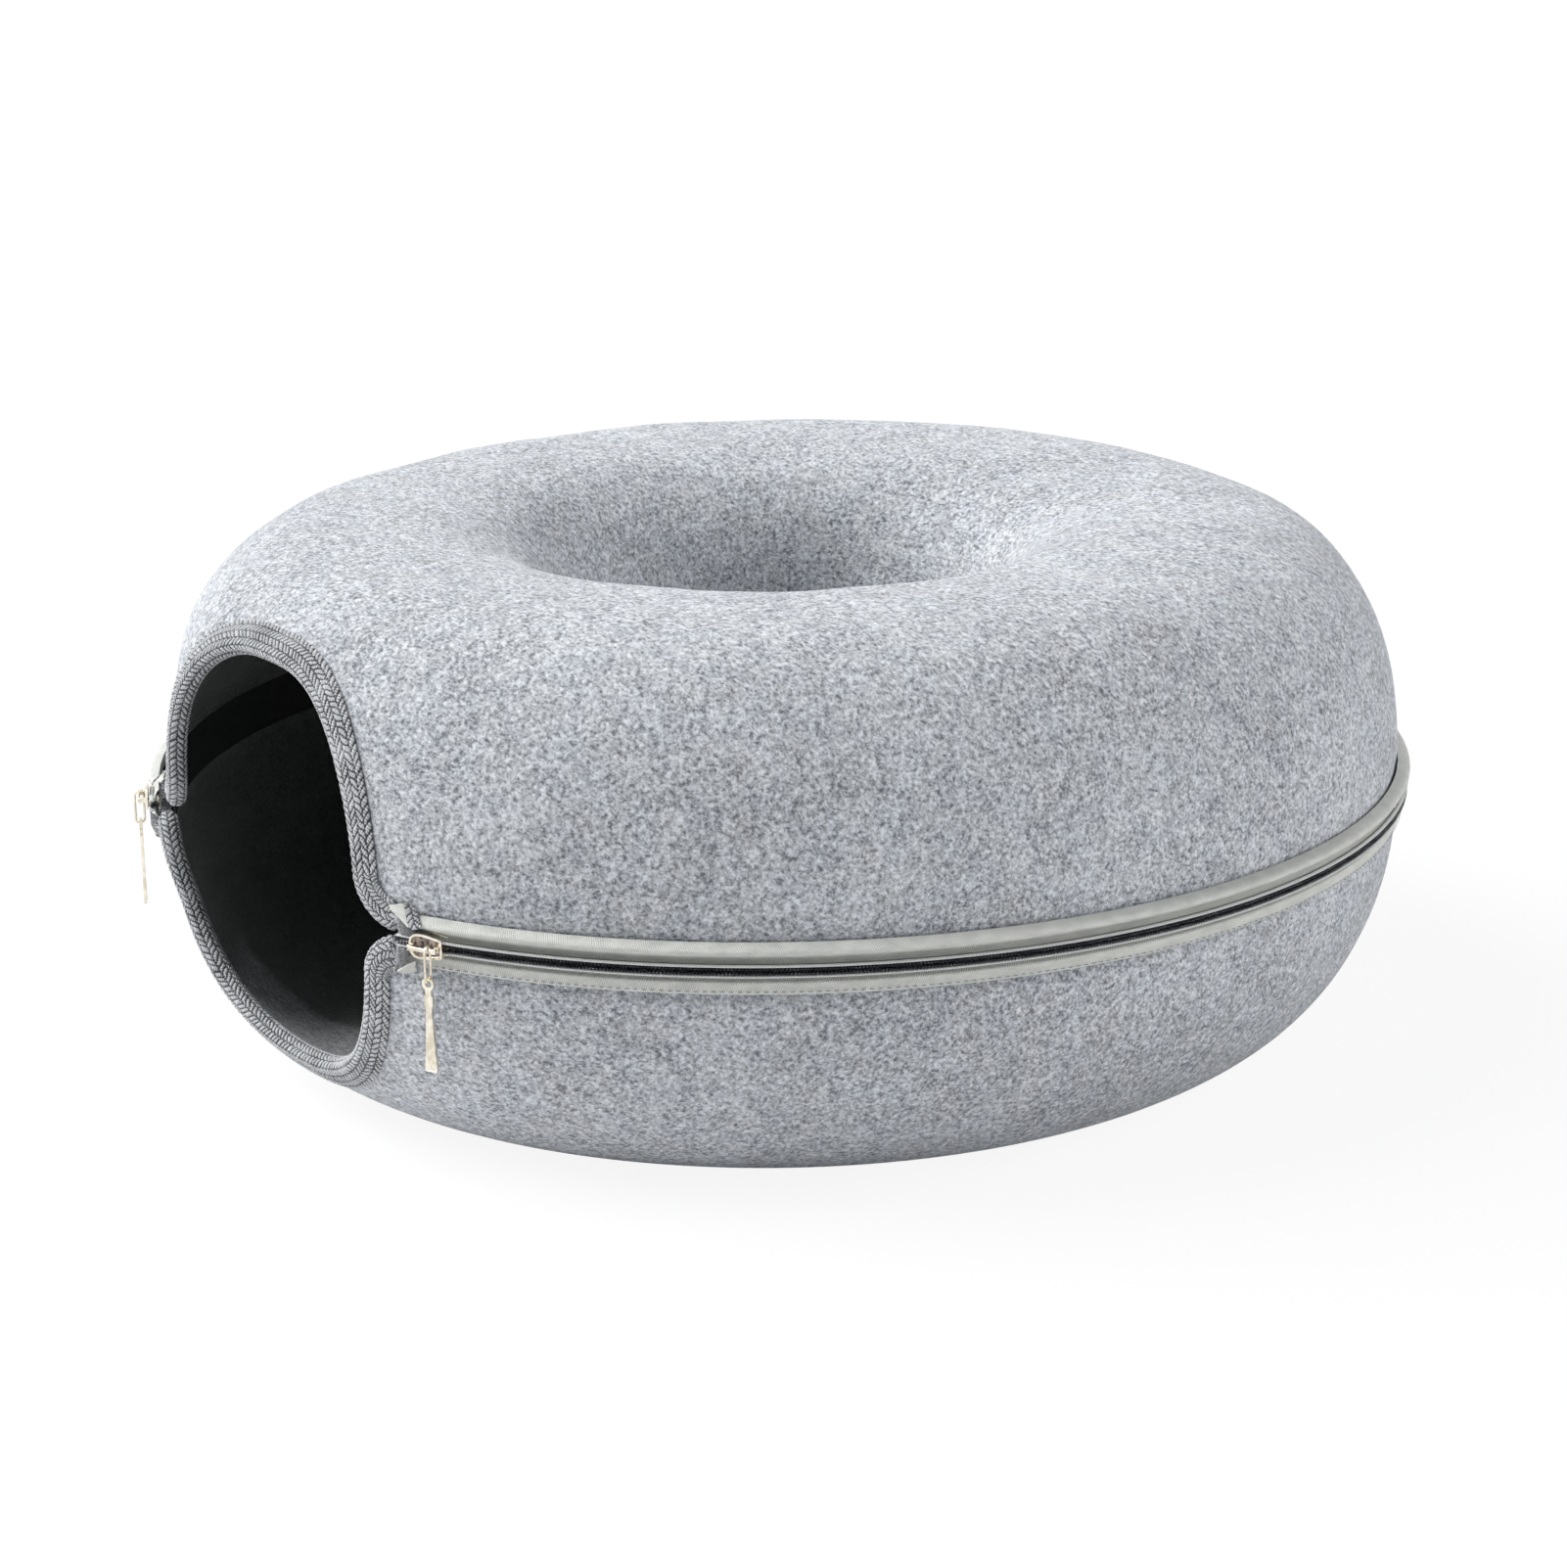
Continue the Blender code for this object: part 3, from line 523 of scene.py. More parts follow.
# The entry's binding. A soft herringbone twill tape is folded over the cut edge of each half,
# and sewn through near its outer edge. It turns the corner and ends close to the slider.
RIB = 0.0028
COLUMN = 0.0029
RELIEF = 0.0006
SHORT_SWAY = 0.00030
LONG_SWAY = 0.00040
twill = Finish("herringbone_twill", roughness=0.95, sheen=0.2)
u, v, _ = twill.axes("UV")
chevron = v.sum("PINGPONG", COLUMN)
sway = (u * 700 + v * 1100).sum("SINE") * SHORT_SWAY + (u * 190).sum("SINE") * LONG_SWAY
offset = (v / COLUMN).sum("FLOOR").sum("MODULO", 2.0) * (RIB / 2)
turns = (u + chevron + offset + sway) / RIB
rib = (turns.sum("FRACT") * math.pi).sum("SINE")
strand = ((turns * 2).sum("FRACT") * math.pi).sum("SINE")
bead = (((u - chevron) / (RIB / 2)).sum("FRACT") * math.pi).sum("SINE")
yarn = twill.noise(twill.place(), 1500, detail=2.0)
worn = twill.noise(twill.place(), 110, detail=3.0)
# The colour is near black in the grooves between the columns and between the ribs: painted shade in the
# weave's hollows, over the herringbone's own pattern.
groove = (((v / COLUMN).sum("FRACT") * math.pi).sum("SINE") * 1.4 + 0.2).sum("MINIMUM", 1.0)
weave = rib * groove * (strand * 0.15 + bead * 0.65 + 0.20)
twill.colour(twill.blend(
    weave * 2.2 + (yarn - 0.5) * 1.7 + (worn - 0.5) * 1.5 - 0.32,
    (0.026, 0.028, 0.032, 1), (0.62, 0.63, 0.65, 1),
))
twill.relief(weave * 0.8 + yarn * 0.2, RELIEF)


def twill_height(along, across):
    """How high the weave stands at a place on the tape, from 0 in a groove to 1 on a rib."""
    chevron = COLUMN - abs(across % (2 * COLUMN) - COLUMN)
    offset = across // COLUMN % 2 * RIB / 2
    sway = math.sin(along * 700 + across * 1100) * SHORT_SWAY + math.sin(along * 190) * LONG_SWAY
    rib = math.sin(math.pi * ((along + chevron + offset + sway) / RIB % 1))
    bead = math.sin(math.pi * ((along - chevron) / (RIB / 2) % 1))
    groove = min(1.4 * math.sin(math.pi * (across / COLUMN % 1)) + 0.2, 1)
    return rib * groove * (0.6 + 0.4 * bead)


BINDING_STEP = 0.0005
CORNER_END = 0.0955
BINDING_TAILS = {"upper": 0.0125, "lower": 0.0090}
TAIL_FADE = 0.0035
TAIL_CLIMB = 0.0035
BINDING_REACH = 0.0105
TAIL_REACH = 0.0010
TAIL_FACE = 0.0008
TAIL_BACK = 0.0002
OUTER_FACE = smooth_line((
    (0.0110, 0.0003), (0.0108, 0.0008), (0.0085, 0.0012), (0.0055, 0.0014), (0.0025, 0.0013),
    (0.0004, 0.0007), (-0.0009, -0.0005), (-0.0014, -0.0022), (-0.0011, -0.0040), (-0.0001, -0.0053),
    (0.0016, -0.0058), (0.0050, -0.0059), (0.0090, -0.0058),
), BINDING_STEP)
INNER_FACE = (
    (0.0090, -0.0051), (0.0045, -0.0050), (0.0010, -0.0049), (-0.0002, -0.0042), (-0.0003, -0.0022),
    (-0.0003, -0.0006), (0.0002, 0.0002), (0.0040, 0.0003), (0.0080, 0.0003),
)
outer_ways = []
for i in range(len(OUTER_FACE)):
    run = OUTER_FACE[min(i + 1, len(OUTER_FACE) - 1)] - OUTER_FACE[max(i - 1, 0)]
    outer_ways.append(Vector((run.y, -run.x)).normalized() * min(i / 3, (len(OUTER_FACE) - 1 - i) / 3, 1))
for half in (upper, lower):
    table = wall_table(half)
    tail = BINDING_TAILS[half.name]
    stations = []
    for k, edge in enumerate(entry_frames(half, BINDING_STEP, tail)):
        gone = max(abs(edge[0]) * FELT_RADIUS - CORNER_END, 0) / (tail + TAIL_FADE)
        flatness = eased(gone * 2.5)
        reach = BINDING_REACH + (TAIL_REACH - BINDING_REACH) * min(gone, 1)
        climb = TAIL_CLIMB * eased(gone * 1.8)
        loop = []
        for i, point in enumerate(OUTER_FACE):
            share = 1 - i / (len(OUTER_FACE) - 1)
            flat = Vector((reach * share, climb + TAIL_FACE))
            raised = outer_ways[i] * (1 - flatness) + Vector((0, 1)) * flatness
            height = twill_height(k * BINDING_STEP, i * BINDING_STEP) * RELIEF * (1 - 0.6 * flatness)
            place = point.lerp(flat, flatness) + raised * height
            loop.append(on_wall(half, table, edge, *place))
        for i, point in enumerate(INNER_FACE):
            flat = Vector((reach * i / (len(INNER_FACE) - 1), climb + TAIL_BACK))
            loop.append(on_wall(half, table, edge, *Vector(point).lerp(flat, flatness)))
        stations.append(loop)
    marks = [i * BINDING_STEP for i in range(len(stations[0]) + 1)]
    bm = sweep(stations, step=BINDING_STEP, marks=marks)
    binding = finished(half.name + "_binding", bm, [twill], crease=math.radians(70))
    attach(binding, half.body)
    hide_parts(half.name + "_entry_binding")


# The stitches of the binding. A lockstitch in grey thread runs along the binding's outer
# edge, through tape, felt and tape. Each stitch shows as a short bead pulled into the twill.
thread = Finish("sewing_thread", roughness=0.7, sheen=0.2)
ply = thread.noise(thread.place(), 2600, detail=1.0)
thread.colour(thread.blend(thread.band(ply, 0.3, 0.7), (0.10, 0.10, 0.11, 1), (0.36, 0.37, 0.38, 1)))
thread.relief(ply, 0.0002)


def stitches(name, places, length, width):
    """A row of stitches, each at a place that is given as a point, its run and its way out."""
    bm = bmesh.new()
    for point, run, out in places:
        side = out.cross(run).normalized()
        turn = Matrix((run, side, out)).transposed().to_4x4()
        size = Matrix.Diagonal((length / 2, width / 2, width / 2, 1))
        bmesh.ops.create_uvsphere(
            bm, u_segments=6, v_segments=4, radius=1, matrix=Matrix.Translation(point) @ turn @ size,
        )
    return finished(name, bm, [thread])


SEAM_FROM_EDGE = 0.0096
STITCH_STEP = 0.0030
STITCH_LENGTH = 0.0022
STITCH_WIDTH = 0.0006
for half in (upper, lower):
    table = wall_table(half)
    edges = entry_frames(half, STITCH_STEP)
    row, above = ([on_wall(half, table, edge, SEAM_FROM_EDGE, z) for edge in edges] for z in (0.0013, 0.0023))
    places = [(a, (b - a).normalized(), (top - a).normalized()) for a, b, top in zip(row, row[1:], above)]
    seam = stitches(half.name + "_binding_seam", places, STITCH_LENGTH, STITCH_WIDTH)
    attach(seam, half.body)
    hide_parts(half.name + "_binding_stitching")


# The zip's tape. A warm grey woven tape with fine ribs and a satin face carries each half of
# the coil. The upper tape is rolled over its own seam and the lower one lies flat on the felt.
# The ends of both are turned away from the zip.
CHAIN_RADIUS = 0.2497
ZIP_START = 0.1010
TAPE_THICKNESS = 0.0005
TAPE_PROFILE_STEP = 0.0005
TAPE_CLEARANCE = 0.0006
ROLL_STARTS_OVER = 0.016
STRAP_STEPS = 8
satin = Finish("woven_zip_tape", roughness=0.5, sheen=0.15)
u, v, _ = satin.axes("UV")
ribs = (((u + v * 0.35) * (2 * math.pi / 0.00080)).sum("SINE") + 1) * 0.5
picks = ((v * (2 * math.pi / 0.00050)).sum("SINE") + 1) * 0.5
cloth = ribs * 0.7 + ribs * picks * 0.3
slub = satin.noise(satin.place(scale=(1, 1, 3)), 160, detail=3.0)
# Painted shade: both tapes are darker 3.4 to 5.2 mm above and below the zip's middle, in the grooves beside
# the coil thread, a little less so on the ribs.
from_coil = (satin.axes()[2] - MIDDLE.z).sum("ABSOLUTE")
painted_groove_shade = satin.band(from_coil, 0.0034, 0.0052, 1.0, 0.0) * (0.55 - ribs * 0.25)
satin.colour(satin.blend(
    cloth * 0.6 + slub * 0.8 - 0.1 - painted_groove_shade, (0.34, 0.345, 0.325, 1), (0.76, 0.765, 0.72, 1),
))
satin.rough(slub * 0.3 + 0.35)
satin.relief(cloth, 0.00016)


def skin_radius(half, height):
    """Radius of the felt's outside at a height from the zip."""
    return between(half.outside(0), height, 1)[0]


def zip_angles(step=0.0045):
    """Angles from the zip's right end, round the back, to its left end."""
    start = ZIP_START / FELT_RADIUS
    count = round((2 * math.pi - 2 * start) * FELT_RADIUS / step)
    return [start + (2 * math.pi - 2 * start) * i / count for i in range(count + 1)]


def strap(half, side, edges, thickness, bulge):
    """A short flat strap on the felt. Each station has two edges: along the zip, up, and proud."""
    loops = []
    for first, last in edges:
        top, under = [], []
        for i in range(STRAP_STEPS + 1):
            x, z, proud = Vector(first).lerp(Vector(last), i / STRAP_STEPS)
            proud += bulge * math.sin(math.pi * i / STRAP_STEPS)
            radius = skin_radius(half, z)
            top.append(slumped(radius + proud + thickness, side * x / FELT_RADIUS, half.up * z))
            under.append(slumped(radius + proud, side * x / FELT_RADIUS, half.up * z))
        loops.append(top + under[::-1])
    return sweep(loops)


rolled = (
    (CHAIN_RADIUS - 0.0006, 0.0026), (CHAIN_RADIUS - 0.0017, 0.0033), (CHAIN_RADIUS - 0.0018, 0.0041),
    (CHAIN_RADIUS - 0.0008, 0.0049), (CHAIN_RADIUS + 0.0008, 0.0057), (CHAIN_RADIUS + 0.0018, 0.0067),
    (CHAIN_RADIUS + 0.0016, 0.0077), (CHAIN_RADIUS + 0.0005, 0.0085), (CHAIN_RADIUS - 0.0013, 0.0091),
    (skin_radius(upper, 0.0095) + 0.0002, 0.0095),
)
laid_flat = (
    (CHAIN_RADIUS - 0.0010, 0.0025), (CHAIN_RADIUS - 0.0021, 0.0030), (CHAIN_RADIUS - 0.0018, 0.0036),
    (CHAIN_RADIUS - 0.0009, 0.0042), (CHAIN_RADIUS - 0.0009, 0.0050),
    (skin_radius(lower, 0.0062) + 0.0021, 0.0062), (skin_radius(lower, 0.0076) + 0.0019, 0.0076),
    (skin_radius(lower, 0.0088) + 0.0015, 0.0088), (skin_radius(lower, 0.0093) + 0.0008, 0.0093),
)
for half, line in ((upper, rolled), (lower, laid_flat)):
    face = smooth_line(line, TAPE_PROFILE_STEP)
    loops = []
    for angle in zip_angles():
        from_end = min(angle, 2 * math.pi - angle) * FELT_RADIUS - ZIP_START
        full = eased(from_end / ROLL_STARTS_OVER)
        top, under = [], []
        for i, (r, z) in enumerate(face):
            share = i / (len(face) - 1)
            by_coil, on_felt = CHAIN_RADIUS - TAPE_CLEARANCE, skin_radius(half, z) + TAPE_CLEARANCE
            laid = by_coil + (on_felt - by_coil) * eased(share * 1.6)
            front = Vector((laid + (r - laid) * full, z))
            run = (face[min(i + 1, len(face) - 1)] - face[max(i - 1, 0)]).normalized()
            back = front + Vector((-run.y, run.x)) * TAPE_THICKNESS
            top.append(at(front.x, angle, half.up * front.y))
            under.append(at(back.x, angle, half.up * back.y))
        loops.append(top + under[::-1])
    tape = finished(half.name + "_tape", sweep(loops), [satin], crease=math.radians(70))
    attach(tape, half.body)
    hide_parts(half.name + "_zip_tape")


# The ends of the tape. Beside the entry each end is folded away from the zip, and a scrap of
# twill is sewn over the upper fold. They stand a little proud of the felt.
SIDES = ((1, "right"), (-1, "left"))
FOLD_STEP = 0.0008
FOLD_BULGE = 0.0007
TAPE_ENDS = {
    "upper": (
        ((0.1068, 0.0060, 0.0046), (0.1085, 0.0068, 0.0048)),
        ((0.1042, 0.0076, 0.0040), (0.1079, 0.0086, 0.0040)),
        ((0.1010, 0.0092, 0.0032), (0.1063, 0.0108, 0.0026)),
        ((0.0986, 0.0103, 0.0027), (0.1046, 0.0122, 0.0016)),
        ((0.0968, 0.0118, 0.0020), (0.1036, 0.0134, 0.0008)),
    ),
    "lower": (
        ((0.1090, 0.0064, 0.0040), (0.1074, 0.0112, 0.0014)),
        ((0.1053, 0.0082, 0.0040), (0.1048, 0.0124, 0.0016)),
        ((0.1022, 0.0102, 0.0034), (0.1020, 0.0128, 0.0018)),
        ((0.1000, 0.0116, 0.0026), (0.0999, 0.0127, 0.0020)),
    ),
}
SCRAP = (
    ((0.1030, 0.0134, 0.0016), (0.1066, 0.0126, 0.0003)),
    ((0.1048, 0.0112, 0.0030), (0.1086, 0.0104, 0.0014)),
    ((0.1072, 0.0082, 0.0052), (0.1110, 0.0086, 0.0038)),
    ((0.1090, 0.0060, 0.0060), (0.1132, 0.0068, 0.0050)),
)


def folded(half, side, name, edges, finish):
    """A short strap through pairs of edge points, turned away from the zip on the felt."""
    firsts, lasts = (smooth_line(line, FOLD_STEP) for line in zip(*edges))
    count = min(len(firsts), len(lasts))
    even = [
        [line[round(i * (len(line) - 1) / (count - 1))] for line in (firsts, lasts)]
        for i in range(count)
    ]
    bm = strap(half, side, even, TAPE_THICKNESS, FOLD_BULGE)
    end = finished(name, bm, [finish], crease=math.radians(60))
    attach(end, half.body)


for half in (upper, lower):
    for side, word in SIDES:
        name = half.name + "_" + word
        folded(half, side, name + "_tape_end", TAPE_ENDS[half.name], satin)
        if half is upper:
            folded(half, side, name + "_scrap", SCRAP, twill)


# The zip's coil. One nylon wire is wound flat along the edge of each tape, and its loops are
# the teeth. The loops of one half stand between the loops of the other.
nylon = Finish("nylon_coil", roughness=0.32)
mottle = nylon.noise(nylon.place(), 1500, detail=1.0)
nylon.colour(nylon.blend(nylon.band(mottle, 0.3, 0.7), (0.008, 0.009, 0.011, 1), (0.050, 0.055, 0.064, 1)))
nylon.rough(mottle * 0.2 + 0.15)
nylon.relief(mottle, 0.0001, strength=0.4)
PITCH = 0.00125
WIRE = 0.00030
COIL_REACH = 0.0011
COIL_HEIGHT = 0.00082
COIL_RISE = 0.00026
STEPS_IN_TURN = 8

for half in (upper, lower):
    length = (2 * math.pi * FELT_RADIUS - 2 * ZIP_START) / FELT_RADIUS
    turns = int(length * CHAIN_RADIUS / PITCH)
    wire = bpy.data.curves.new(half.name + "_wire", "CURVE")
    wire.dimensions = "3D"
    wire.bevel_depth = WIRE
    wire.bevel_resolution = 0
    wire.use_fill_caps = True
    spline = wire.splines.new("POLY")
    steps = STEPS_IN_TURN * turns
    spline.points.add(steps)
    for i in range(steps + 1):
        turn = 2 * math.pi * i / STEPS_IN_TURN + (0 if half.up > 0 else math.pi)
        angle = ZIP_START / FELT_RADIUS + length * i / steps
        radius = CHAIN_RADIUS + (COIL_REACH - WIRE) * math.cos(turn)
        height = COIL_HEIGHT + COIL_RISE * math.sin(turn)
        spline.points[i].co = (*at(radius, angle, half.up * height), 1)
    spline.use_smooth = True
    wound = bpy.data.objects.new(half.name + "_wire", wire)
    bpy.context.scene.collection.objects.link(wound)
    graph = bpy.context.evaluated_depsgraph_get()
    coil_mesh = bpy.data.meshes.new_from_object(wound.evaluated_get(graph))
    bpy.data.curves.remove(wire)
    bm = bmesh.new()
    bm.from_mesh(coil_mesh)
    bpy.data.meshes.remove(coil_mesh)
    coil = finished(half.name + "_coil", bm, [nylon], crease=math.radians(75))
    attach(coil, half.body)
    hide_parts(half.name + "_zip_coil")


# The thread that holds the coil. A pale twisted thread is sewn over the foot of each coil and
# shows as a light line on both sides of the dark teeth.
twist = Finish("pale_coil_thread", roughness=0.6, sheen=0.2)
u, v, _ = twist.axes("UV")
strand = (((u * 0.9 + v) * (2 * math.pi / 0.0011)).sum("SINE") + 1) * 0.5
twist.colour(twist.blend(strand, (0.50, 0.505, 0.50, 1), (0.88, 0.89, 0.87, 1)))
twist.relief(strand, 0.00025)

THREAD_PROUD = {"upper": 0.0003, "lower": -0.0001}
THREAD_HEIGHT = 0.00192
THREAD_DEPTH = 0.0009
THREAD_WIDTH = 0.00048
THREAD_SIDES = 10
for half in (upper, lower):
    loops = []
    for angle in zip_angles():
        loop = []
        for i in range(THREAD_SIDES):
            turn = 2 * math.pi * i / THREAD_SIDES
            radius = CHAIN_RADIUS + THREAD_PROUD[half.name] + THREAD_DEPTH * math.cos(turn)
            loop.append(at(radius, angle, half.up * (THREAD_HEIGHT + THREAD_WIDTH * math.sin(turn))))
        loops.append(loop)
    thread_line = finished(half.name + "_thread_line", sweep(loops), [twist])
    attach(thread_line, half.body)
    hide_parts(half.name + "_coil_thread")


# The seam of the tape. A lockstitch in grey thread goes through the tape, the felt and the
# facing behind it. On the upper half the rolled tape hides it.
TAPE_SEAM_HEIGHT = 0.0080
TAPE_SEAM_PROUD = {"upper": 0.0005, "lower": 0.0022}
TAPE_STITCH_LENGTH = 0.0020
TAPE_STITCH_WIDTH = 0.0004
for half in (upper, lower):
    radius = skin_radius(half, TAPE_SEAM_HEIGHT) + TAPE_SEAM_PROUD[half.name]
    places = []
    for angle in zip_angles(step=0.0030)[1:-1]:
        run = Vector((math.cos(angle), math.sin(angle), 0))
        out = Vector((math.sin(angle), -math.cos(angle), 0))
        places.append((at(radius, angle, half.up * TAPE_SEAM_HEIGHT), run, out))
    seam = stitches(half.name + "_tape_seam", places, TAPE_STITCH_LENGTH, TAPE_STITCH_WIDTH)
    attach(seam, half.body)
    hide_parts(half.name + "_tape_stitching")


# The facing. A black woven strip lies inside the felt, behind the zip, and takes the back of
# the tape's seam. The upper one laps over the lower one.
facing_cloth = Finish("black_facing", roughness=0.9)
u, v, _ = facing_cloth.axes("UV")
warp, weft = ((way * (2 * math.pi / 0.0012)).sum("SINE") for way in (u, v))
grid = warp * weft * 0.5 + 0.5
facing_cloth.colour(facing_cloth.blend(grid, (0.050, 0.052, 0.052, 1), (0.105, 0.108, 0.108, 1)))
facing_cloth.relief(grid, 0.0002)

FACING_THICKNESS = 0.0007
FACING_LAP = 0.0010
for half in (upper, lower):
    wall = half.outside(FELT_THICKNESS)
    lap = FACING_LAP if half is upper else 0.0
    face = [(between(wall, z, 1)[0] - FACING_THICKNESS - lap, z) for z in (0.0003 - lap, 0.0025)]
    face += [(between(wall, z, 1)[0] - FACING_THICKNESS, z) for z in (0.0060, 0.0097)]
    back = [(r - FACING_THICKNESS, z) for r, z in face[::-1]]
    loops = [[at(r, angle, half.up * z) for r, z in face + back] for angle in zip_angles(step=0.008)]
    strip = finished(half.name + "_facing", sweep(loops), [facing_cloth])
    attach(strip, half.body)
    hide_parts(half.name + "_zip_facing")


# The touch fastener round the hole. A strip of hooks is sewn inside the lower half's inner
# rim, and a strip of loops on the upper half laps over it, so the two can be peeled apart.
hooks = Finish("hook_and_loop", roughness=0.9)
pile = hooks.node("TexVoronoi", {"Vector": hooks.place(), "Scale": 900.0})
hooks.colour(hooks.blend(pile, (0.050, 0.051, 0.052, 1), (0.012, 0.012, 0.012, 1)))
hooks.relief(1 - pile, 0.0005)


def waist_radius(half, height):
    """Radius of the hole wall's tunnel side at a height from the zip."""
    return between(half.hole(FELT_THICKNESS), height, 1)[0]


OFF_WALL = 0.0005
STRIP_REACH = 0.0140
HOOKS_START = 0.0015
HOOKS_THICKNESS = 0.0010
low, deep = (waist_radius(lower, height) + OFF_WALL for height in (HOOKS_START, STRIP_REACH))
high = waist_radius(upper, STRIP_REACH) + OFF_WALL
hook_loop = [
    (low + HOOKS_THICKNESS, -HOOKS_START), (deep + HOOKS_THICKNESS, -STRIP_REACH),
    (deep, -STRIP_REACH), (low, -HOOKS_START),
]
pile_loop = [
    (high, STRIP_REACH), (high + 0.0010, STRIP_REACH), (low + 0.0010, 0.0025), (low + 0.0025, 0.0005),
    (deep + 0.0025, -STRIP_REACH), (deep + 0.0015, -STRIP_REACH), (low + 0.0015, 0.0), (low, HOOKS_START),
]
for half, name, node, line in (
    (lower, "lower_hooks", "lower_hook_strip", hook_loop),
    (upper, "upper_loops", "upper_loop_strip", pile_loop),
):
    bm = bmesh.new()
    verts = [bm.verts.new(at(r, 0, z)) for r, z in line]
    edges = [bm.edges.new(pair) for pair in zip(verts, verts[1:] + verts[:1])]
    bmesh.ops.spin(
        bm, geom=verts + edges, cent=MIDDLE, axis=(0, 0, 1), angle=2 * math.pi, steps=120, use_merge=True,
    )
    bmesh.ops.remove_doubles(bm, verts=bm.verts, dist=1e-7)
    strip = finished(name, bm, [hooks])
    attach(strip, half.body)
    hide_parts(node)


# The sliders. Each is die-cast metal with a light gold plating: two plates joined by a post
# at the head, with lips along the lower edge that hold the tape. The front plate has a raised
# rim round a sunk floor, coloured dark as a painted reflection and painted shade.
SLIDER_SPACING = 0.1143
PLATE_OFFSET = 0.0016
PLATE_FACE = 0.0027
SLIDER_LENGTH = 0.0140
PLATE_ROUNDING = 0.0002
RIM_WIDTH = 0.00065
SUNK_SLOPE = 0.00025
SUNK_DEPTH = 0.00055
POST = ((-0.0063, -0.0019, -0.0003), (-0.0033, 0.0019, 0.0003), 0.0001)
LIPS = (
    ((-0.0034, -0.0019, -0.0036), (0.0056, -0.00085, -0.00295), 0.00012),
    ((-0.0034, 0.00085, -0.0036), (0.0056, 0.0019, -0.00295), 0.00012),
)
CROWN_FEET = (
    ((-0.0058, -0.0036, -0.0010), (-0.0044, -0.0020, 0.0010), 0.00015),
    ((0.0044, -0.0036, -0.0010), (0.0058, -0.0020, 0.0010), 0.00015),
)
gold = Finish("light_gold_plating", roughness=0.2, metallic=1.0)
wear = gold.noise(gold.place(), 260, detail=2.0)
scratch = gold.noise(gold.place(scale=(300, 300, 3000), turn=(0.2, 0.4, 0.7)), 1.0, detail=2.0)
gold.colour(gold.blend(gold.band(wear, 0.35, 0.65), (0.74, 0.67, 0.54, 1), (0.93, 0.88, 0.77, 1)))
gold.rough(wear * 0.16 + scratch * 0.10 + 0.06)
gold.relief(scratch, 0.00003, strength=0.5)
# Painted reflection and shade: the sunk floor of the front plate is coloured a mottled dark brown, for the
# dark it reflects and the shade in the recess.
painted_reflection = Finish("sunk_floor_painted_reflection", roughness=0.35, metallic=0.9)
sunk_floor_mottle = painted_reflection.noise(painted_reflection.place(), 700, detail=3.0)
painted_reflection.colour(painted_reflection.blend(painted_reflection.band(sunk_floor_mottle, 0.35, 0.7), (0.055, 0.045, 0.050, 1), (0.42, 0.36, 0.33, 1)))
painted_reflection.rough(sunk_floor_mottle * 0.3 + 0.2)
painted_reflection.relief(sunk_floor_mottle, 0.00012, strength=0.6)


def on_chain(side, along=0.0, off=0.0, level=0.0):
    """A place on a slider: along the zip and away from the entry, out from the zip, and up."""
    turn = Matrix.Rotation(side * SLIDER_SPACING / FELT_RADIUS, 4, "Z")
    mirror = Matrix.Diagonal((side, 1, 1, 1))
    out = Matrix.Translation((0, -CHAIN_RADIUS, 0))
    return Matrix.Translation(MIDDLE) @ turn @ out @ mirror @ Matrix.Translation((along, -off, level))


def soften(bm, edges, width):
    """Rounds the edges a little."""
    bmesh.ops.bevel(
        bm, geom=edges, offset=width, segments=2, profile=0.5,
        affect="EDGES", material=-1, clamp_overlap=True,
    )


def plate(bm, outline, front, back, rim=None):
    """A flat plate with softened edges, or with a raised rim round a sunk floor on its front."""
    face = bm.faces.new([bm.verts.new((x, front, z)) for x, z in outline])
    made = bmesh.ops.extrude_face_region(bm, geom=[face])["geom"]
    moved = [g for g in made if isinstance(g, bmesh.types.BMVert)]
    bmesh.ops.translate(bm, verts=moved, vec=(0, back - front, 0))
    verts = set(face.verts) | set(moved)
    soften(bm, [e for e in bm.edges if e.verts[0] in verts and e.verts[1] in verts], PLATE_ROUNDING)
    if rim:
        bmesh.ops.recalc_face_normals(bm, faces=bm.faces)
        flat = max((f for f in bm.faces if f.normal.y < -0.9), key=lambda f: f.calc_area())
        bmesh.ops.inset_region(bm, faces=[flat], thickness=rim, depth=0.0)
        bmesh.ops.inset_region(bm, faces=[flat], thickness=SUNK_SLOPE, depth=-SUNK_DEPTH)
        # The sunk floor takes the second finish, its painted dark reflection.
        flat.material_index = 1


def block(bm, low, high, bevel):
    """A small block with softened edges."""
    low, high = Vector(low), Vector(high)
    verts = bmesh.ops.create_cube(bm, size=1)["verts"]
    bmesh.ops.scale(bm, verts=verts, vec=high - low)
    bmesh.ops.translate(bm, verts=verts, vec=(low + high) / 2)
    soften(bm, list({e for v in verts for e in v.link_edges}), bevel)


